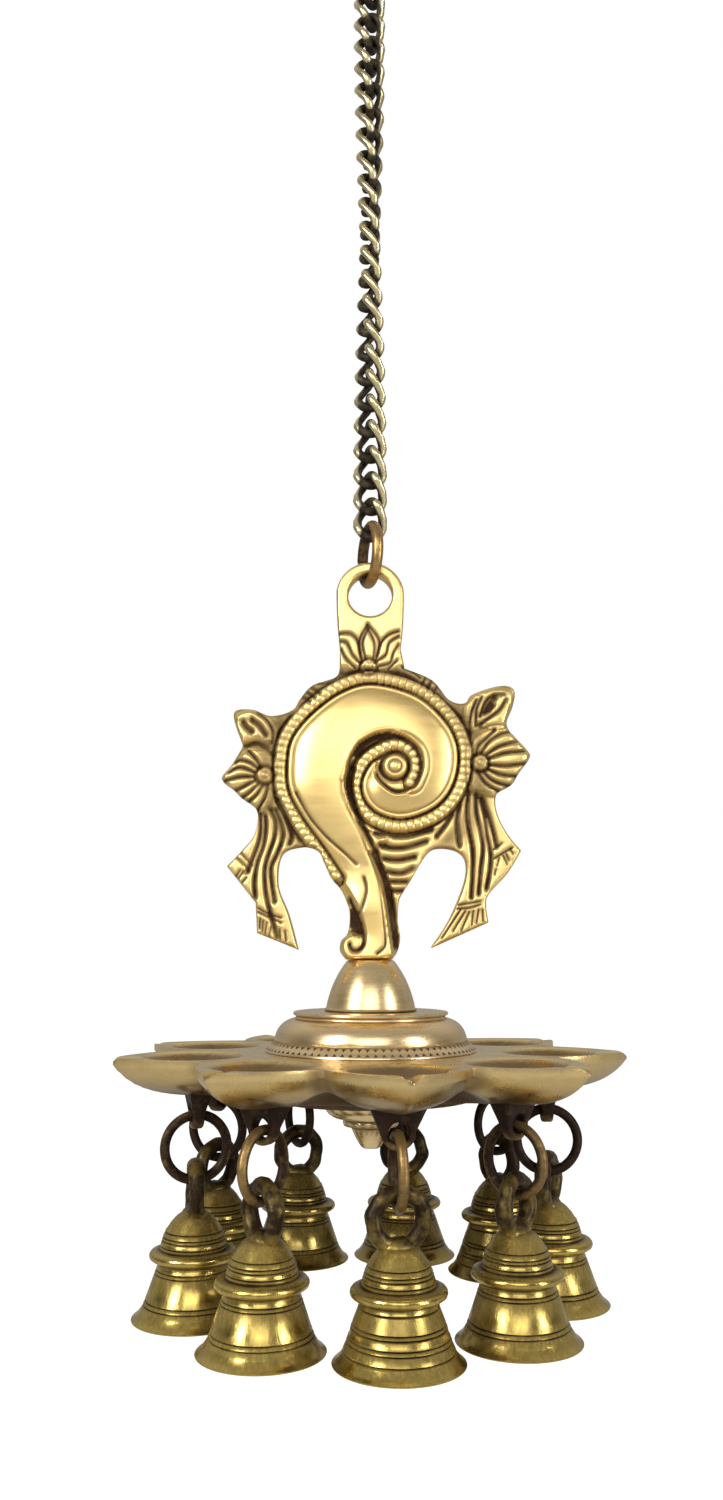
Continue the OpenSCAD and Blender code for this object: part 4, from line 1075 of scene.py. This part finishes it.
def stage():
    """A white floor and room, three softboxes, and a camera placed as the photograph's was."""
    scene = bpy.context.scene
    scene.view_settings.view_transform = "Standard"
    camera = bpy.data.cameras.new("camera")
    camera.lens = 27.6
    camera.sensor_width = 36
    camera.clip_start = 0.01
    seen = bpy.data.objects.new("camera", camera)
    seen.location = (Vector(CAMERA_AT) + Vector((0, 0, RIM))) * MM
    seen.rotation_euler = (math.radians(90 + CAMERA_UP), 0, 0)
    scene.collection.objects.link(seen)
    scene.camera = seen

    floor_mesh = bpy.data.meshes.new("floor")
    bm = bmesh.new()
    bmesh.ops.create_grid(bm, x_segments=1, y_segments=1, size=6)
    bmesh.ops.translate(bm, verts=bm.verts, vec=(0, 0, (RIM + FLOOR_Z) * MM))
    bm.to_mesh(floor_mesh)
    bm.free()
    floor = bpy.data.objects.new("floor", floor_mesh)
    scene.collection.objects.link(floor)
    paint = bpy.data.materials.new("pale_floor")
    paint.use_nodes = True
    tree = paint.node_tree
    shader = tree.nodes["Principled BSDF"]
    shader.inputs["Base Color"].default_value = (0.32, 0.32, 0.32, 1)
    shader.inputs["Roughness"].default_value = 0.9
    shader.inputs["Emission Color"].default_value = (1, 1, 1, 1)
    # White where the camera sees the floor, greyer where the metal mirrors it
    path = shader_node(tree, "LightPath")
    seen_white = math_of(tree, "MULTIPLY", path.outputs["Is Camera Ray"], 0.92)
    mirrored = math_of(tree, "MULTIPLY", path.outputs["Is Glossy Ray"], 0.29)
    link(tree, math_of(tree, "ADD", seen_white, mirrored), shader.inputs["Emission Strength"])
    floor_mesh.materials.append(paint)

    world = bpy.data.worlds.new("studio")
    world.use_nodes = True
    tree = world.node_tree
    background = tree.nodes["Background"]
    path = shader_node(tree, "LightPath")
    split = shader_node(tree, "SeparateXYZ", Vector=shader_node(tree, "TexCoord").outputs["Generated"])
    # The room is dark in front, paler behind and above, and white to the camera
    behind = range_of(tree, split.outputs["Y"], 0.03, 0.34, -0.2, 0.5)
    above = range_of(tree, split.outputs["Z"], 0.0, 0.35, 0.2, 0.9)
    room = math_of(tree, "ADD", behind, above)
    shown = math_of(tree, "MAXIMUM", room, path.outputs["Is Camera Ray"])
    link(tree, shown, background.inputs["Color"])
    background.inputs["Strength"].default_value = 1.0
    scene.world = world

    def softbox(name, at, size, power):
        lamp = bpy.data.lights.new(name, "AREA")
        lamp.shape = "RECTANGLE"
        lamp.size, lamp.size_y = size
        lamp.energy = power
        obj = bpy.data.objects.new(name, lamp)
        obj.location = Vector(at)
        aim = Vector((0, 0, RIM * MM + 0.05)) - obj.location
        obj.rotation_euler = aim.to_track_quat("-Z", "Y").to_euler()
        scene.collection.objects.link(obj)

    low = RIM * MM
    softbox("key_left", (-0.62, -0.62, low + 0.42), (0.22, 0.55), 7)
    softbox("fill_right", (0.72, -0.5, low + 0.18), (0.16, 0.7), 5)
    softbox("front", (0.0, -1.0, low + 0.42), (0.7, 0.66), 4.4)


# Assembly

rng = random.Random(9)
plaque_brass = metal("plaque_brass", (0.88, 0.65, 0.27), (0.76, 0.54, 0.2), (0.04, 0.017, 0.006), 0.37,
                     (60, 110, 620), spread=0.04, scale=150, bump=0.07)
turned_brass = metal("turned_brass", (0.9, 0.69, 0.37), (0.76, 0.56, 0.27), (0.05, 0.028, 0.012), 0.26,
                     (60, 60, 900), spread=0.05, scale=120, bump=0.05)
punched_brass = metal("punched_brass", (0.9, 0.68, 0.38), (0.76, 0.55, 0.28), (0.04, 0.024, 0.012), 0.26,
                      (60, 60, 900), spread=0.05, scale=120, bump=0.05, extra=punch_marks)
plate_brass = metal("plate_brass", (0.86, 0.66, 0.31), (0.66, 0.47, 0.19), (0.08, 0.045, 0.018), 0.28,
                    (200, 200, 420), spread=0.05, scale=70, bump=0.1, extra=plate_tones)
bell_brass = metal("bell_brass", (0.86, 0.64, 0.18), (0.3, 0.2, 0.045), (0.024, 0.013, 0.005), 0.19,
                   (900, 900, 140), spread=0.3, scale=110, bump=0.3, extra=bell_tones)
dark_bronze = metal("dark_bronze", (0.78, 0.68, 0.4), (0.55, 0.44, 0.22), (0.03, 0.022, 0.014), 0.3,
                    (500, 500, 500), spread=0.05, scale=300, bump=0.2, extra=wear_and_highlight_tones)
oxidised = metal("oxidised_brass", (0.56, 0.36, 0.13), (0.27, 0.16, 0.06), (0.022, 0.011, 0.006), 0.32,
                 (400, 400, 400), spread=0.08, scale=300, bump=0.4, extra=wear_and_highlight_tones)
rod_steel = metal("rod_steel", (0.55, 0.55, 0.53), (0.42, 0.42, 0.4), (0.1, 0.09, 0.08), 0.35,
                  (900, 900, 60))

stage()
conch_plaque(plaque_brass)
turned_pieces(turned_brass, punched_brass)
plate_casting(plate_brass)
for k in range(1, PETALS + 1):
    lug(k, oxidised)
    bell_ring(k, oxidised, rng)
    bell(k, bell_brass, rng)
    clapper(k, oxidised)
for i in range(1, LINKS + 1):
    chain_link(i, dark_bronze)
jump_ring(oxidised)
ceiling_hook(dark_bronze)
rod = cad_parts["tie_rod"]
rod.data.materials.clear()
rod.data.materials.append(rod_steel)
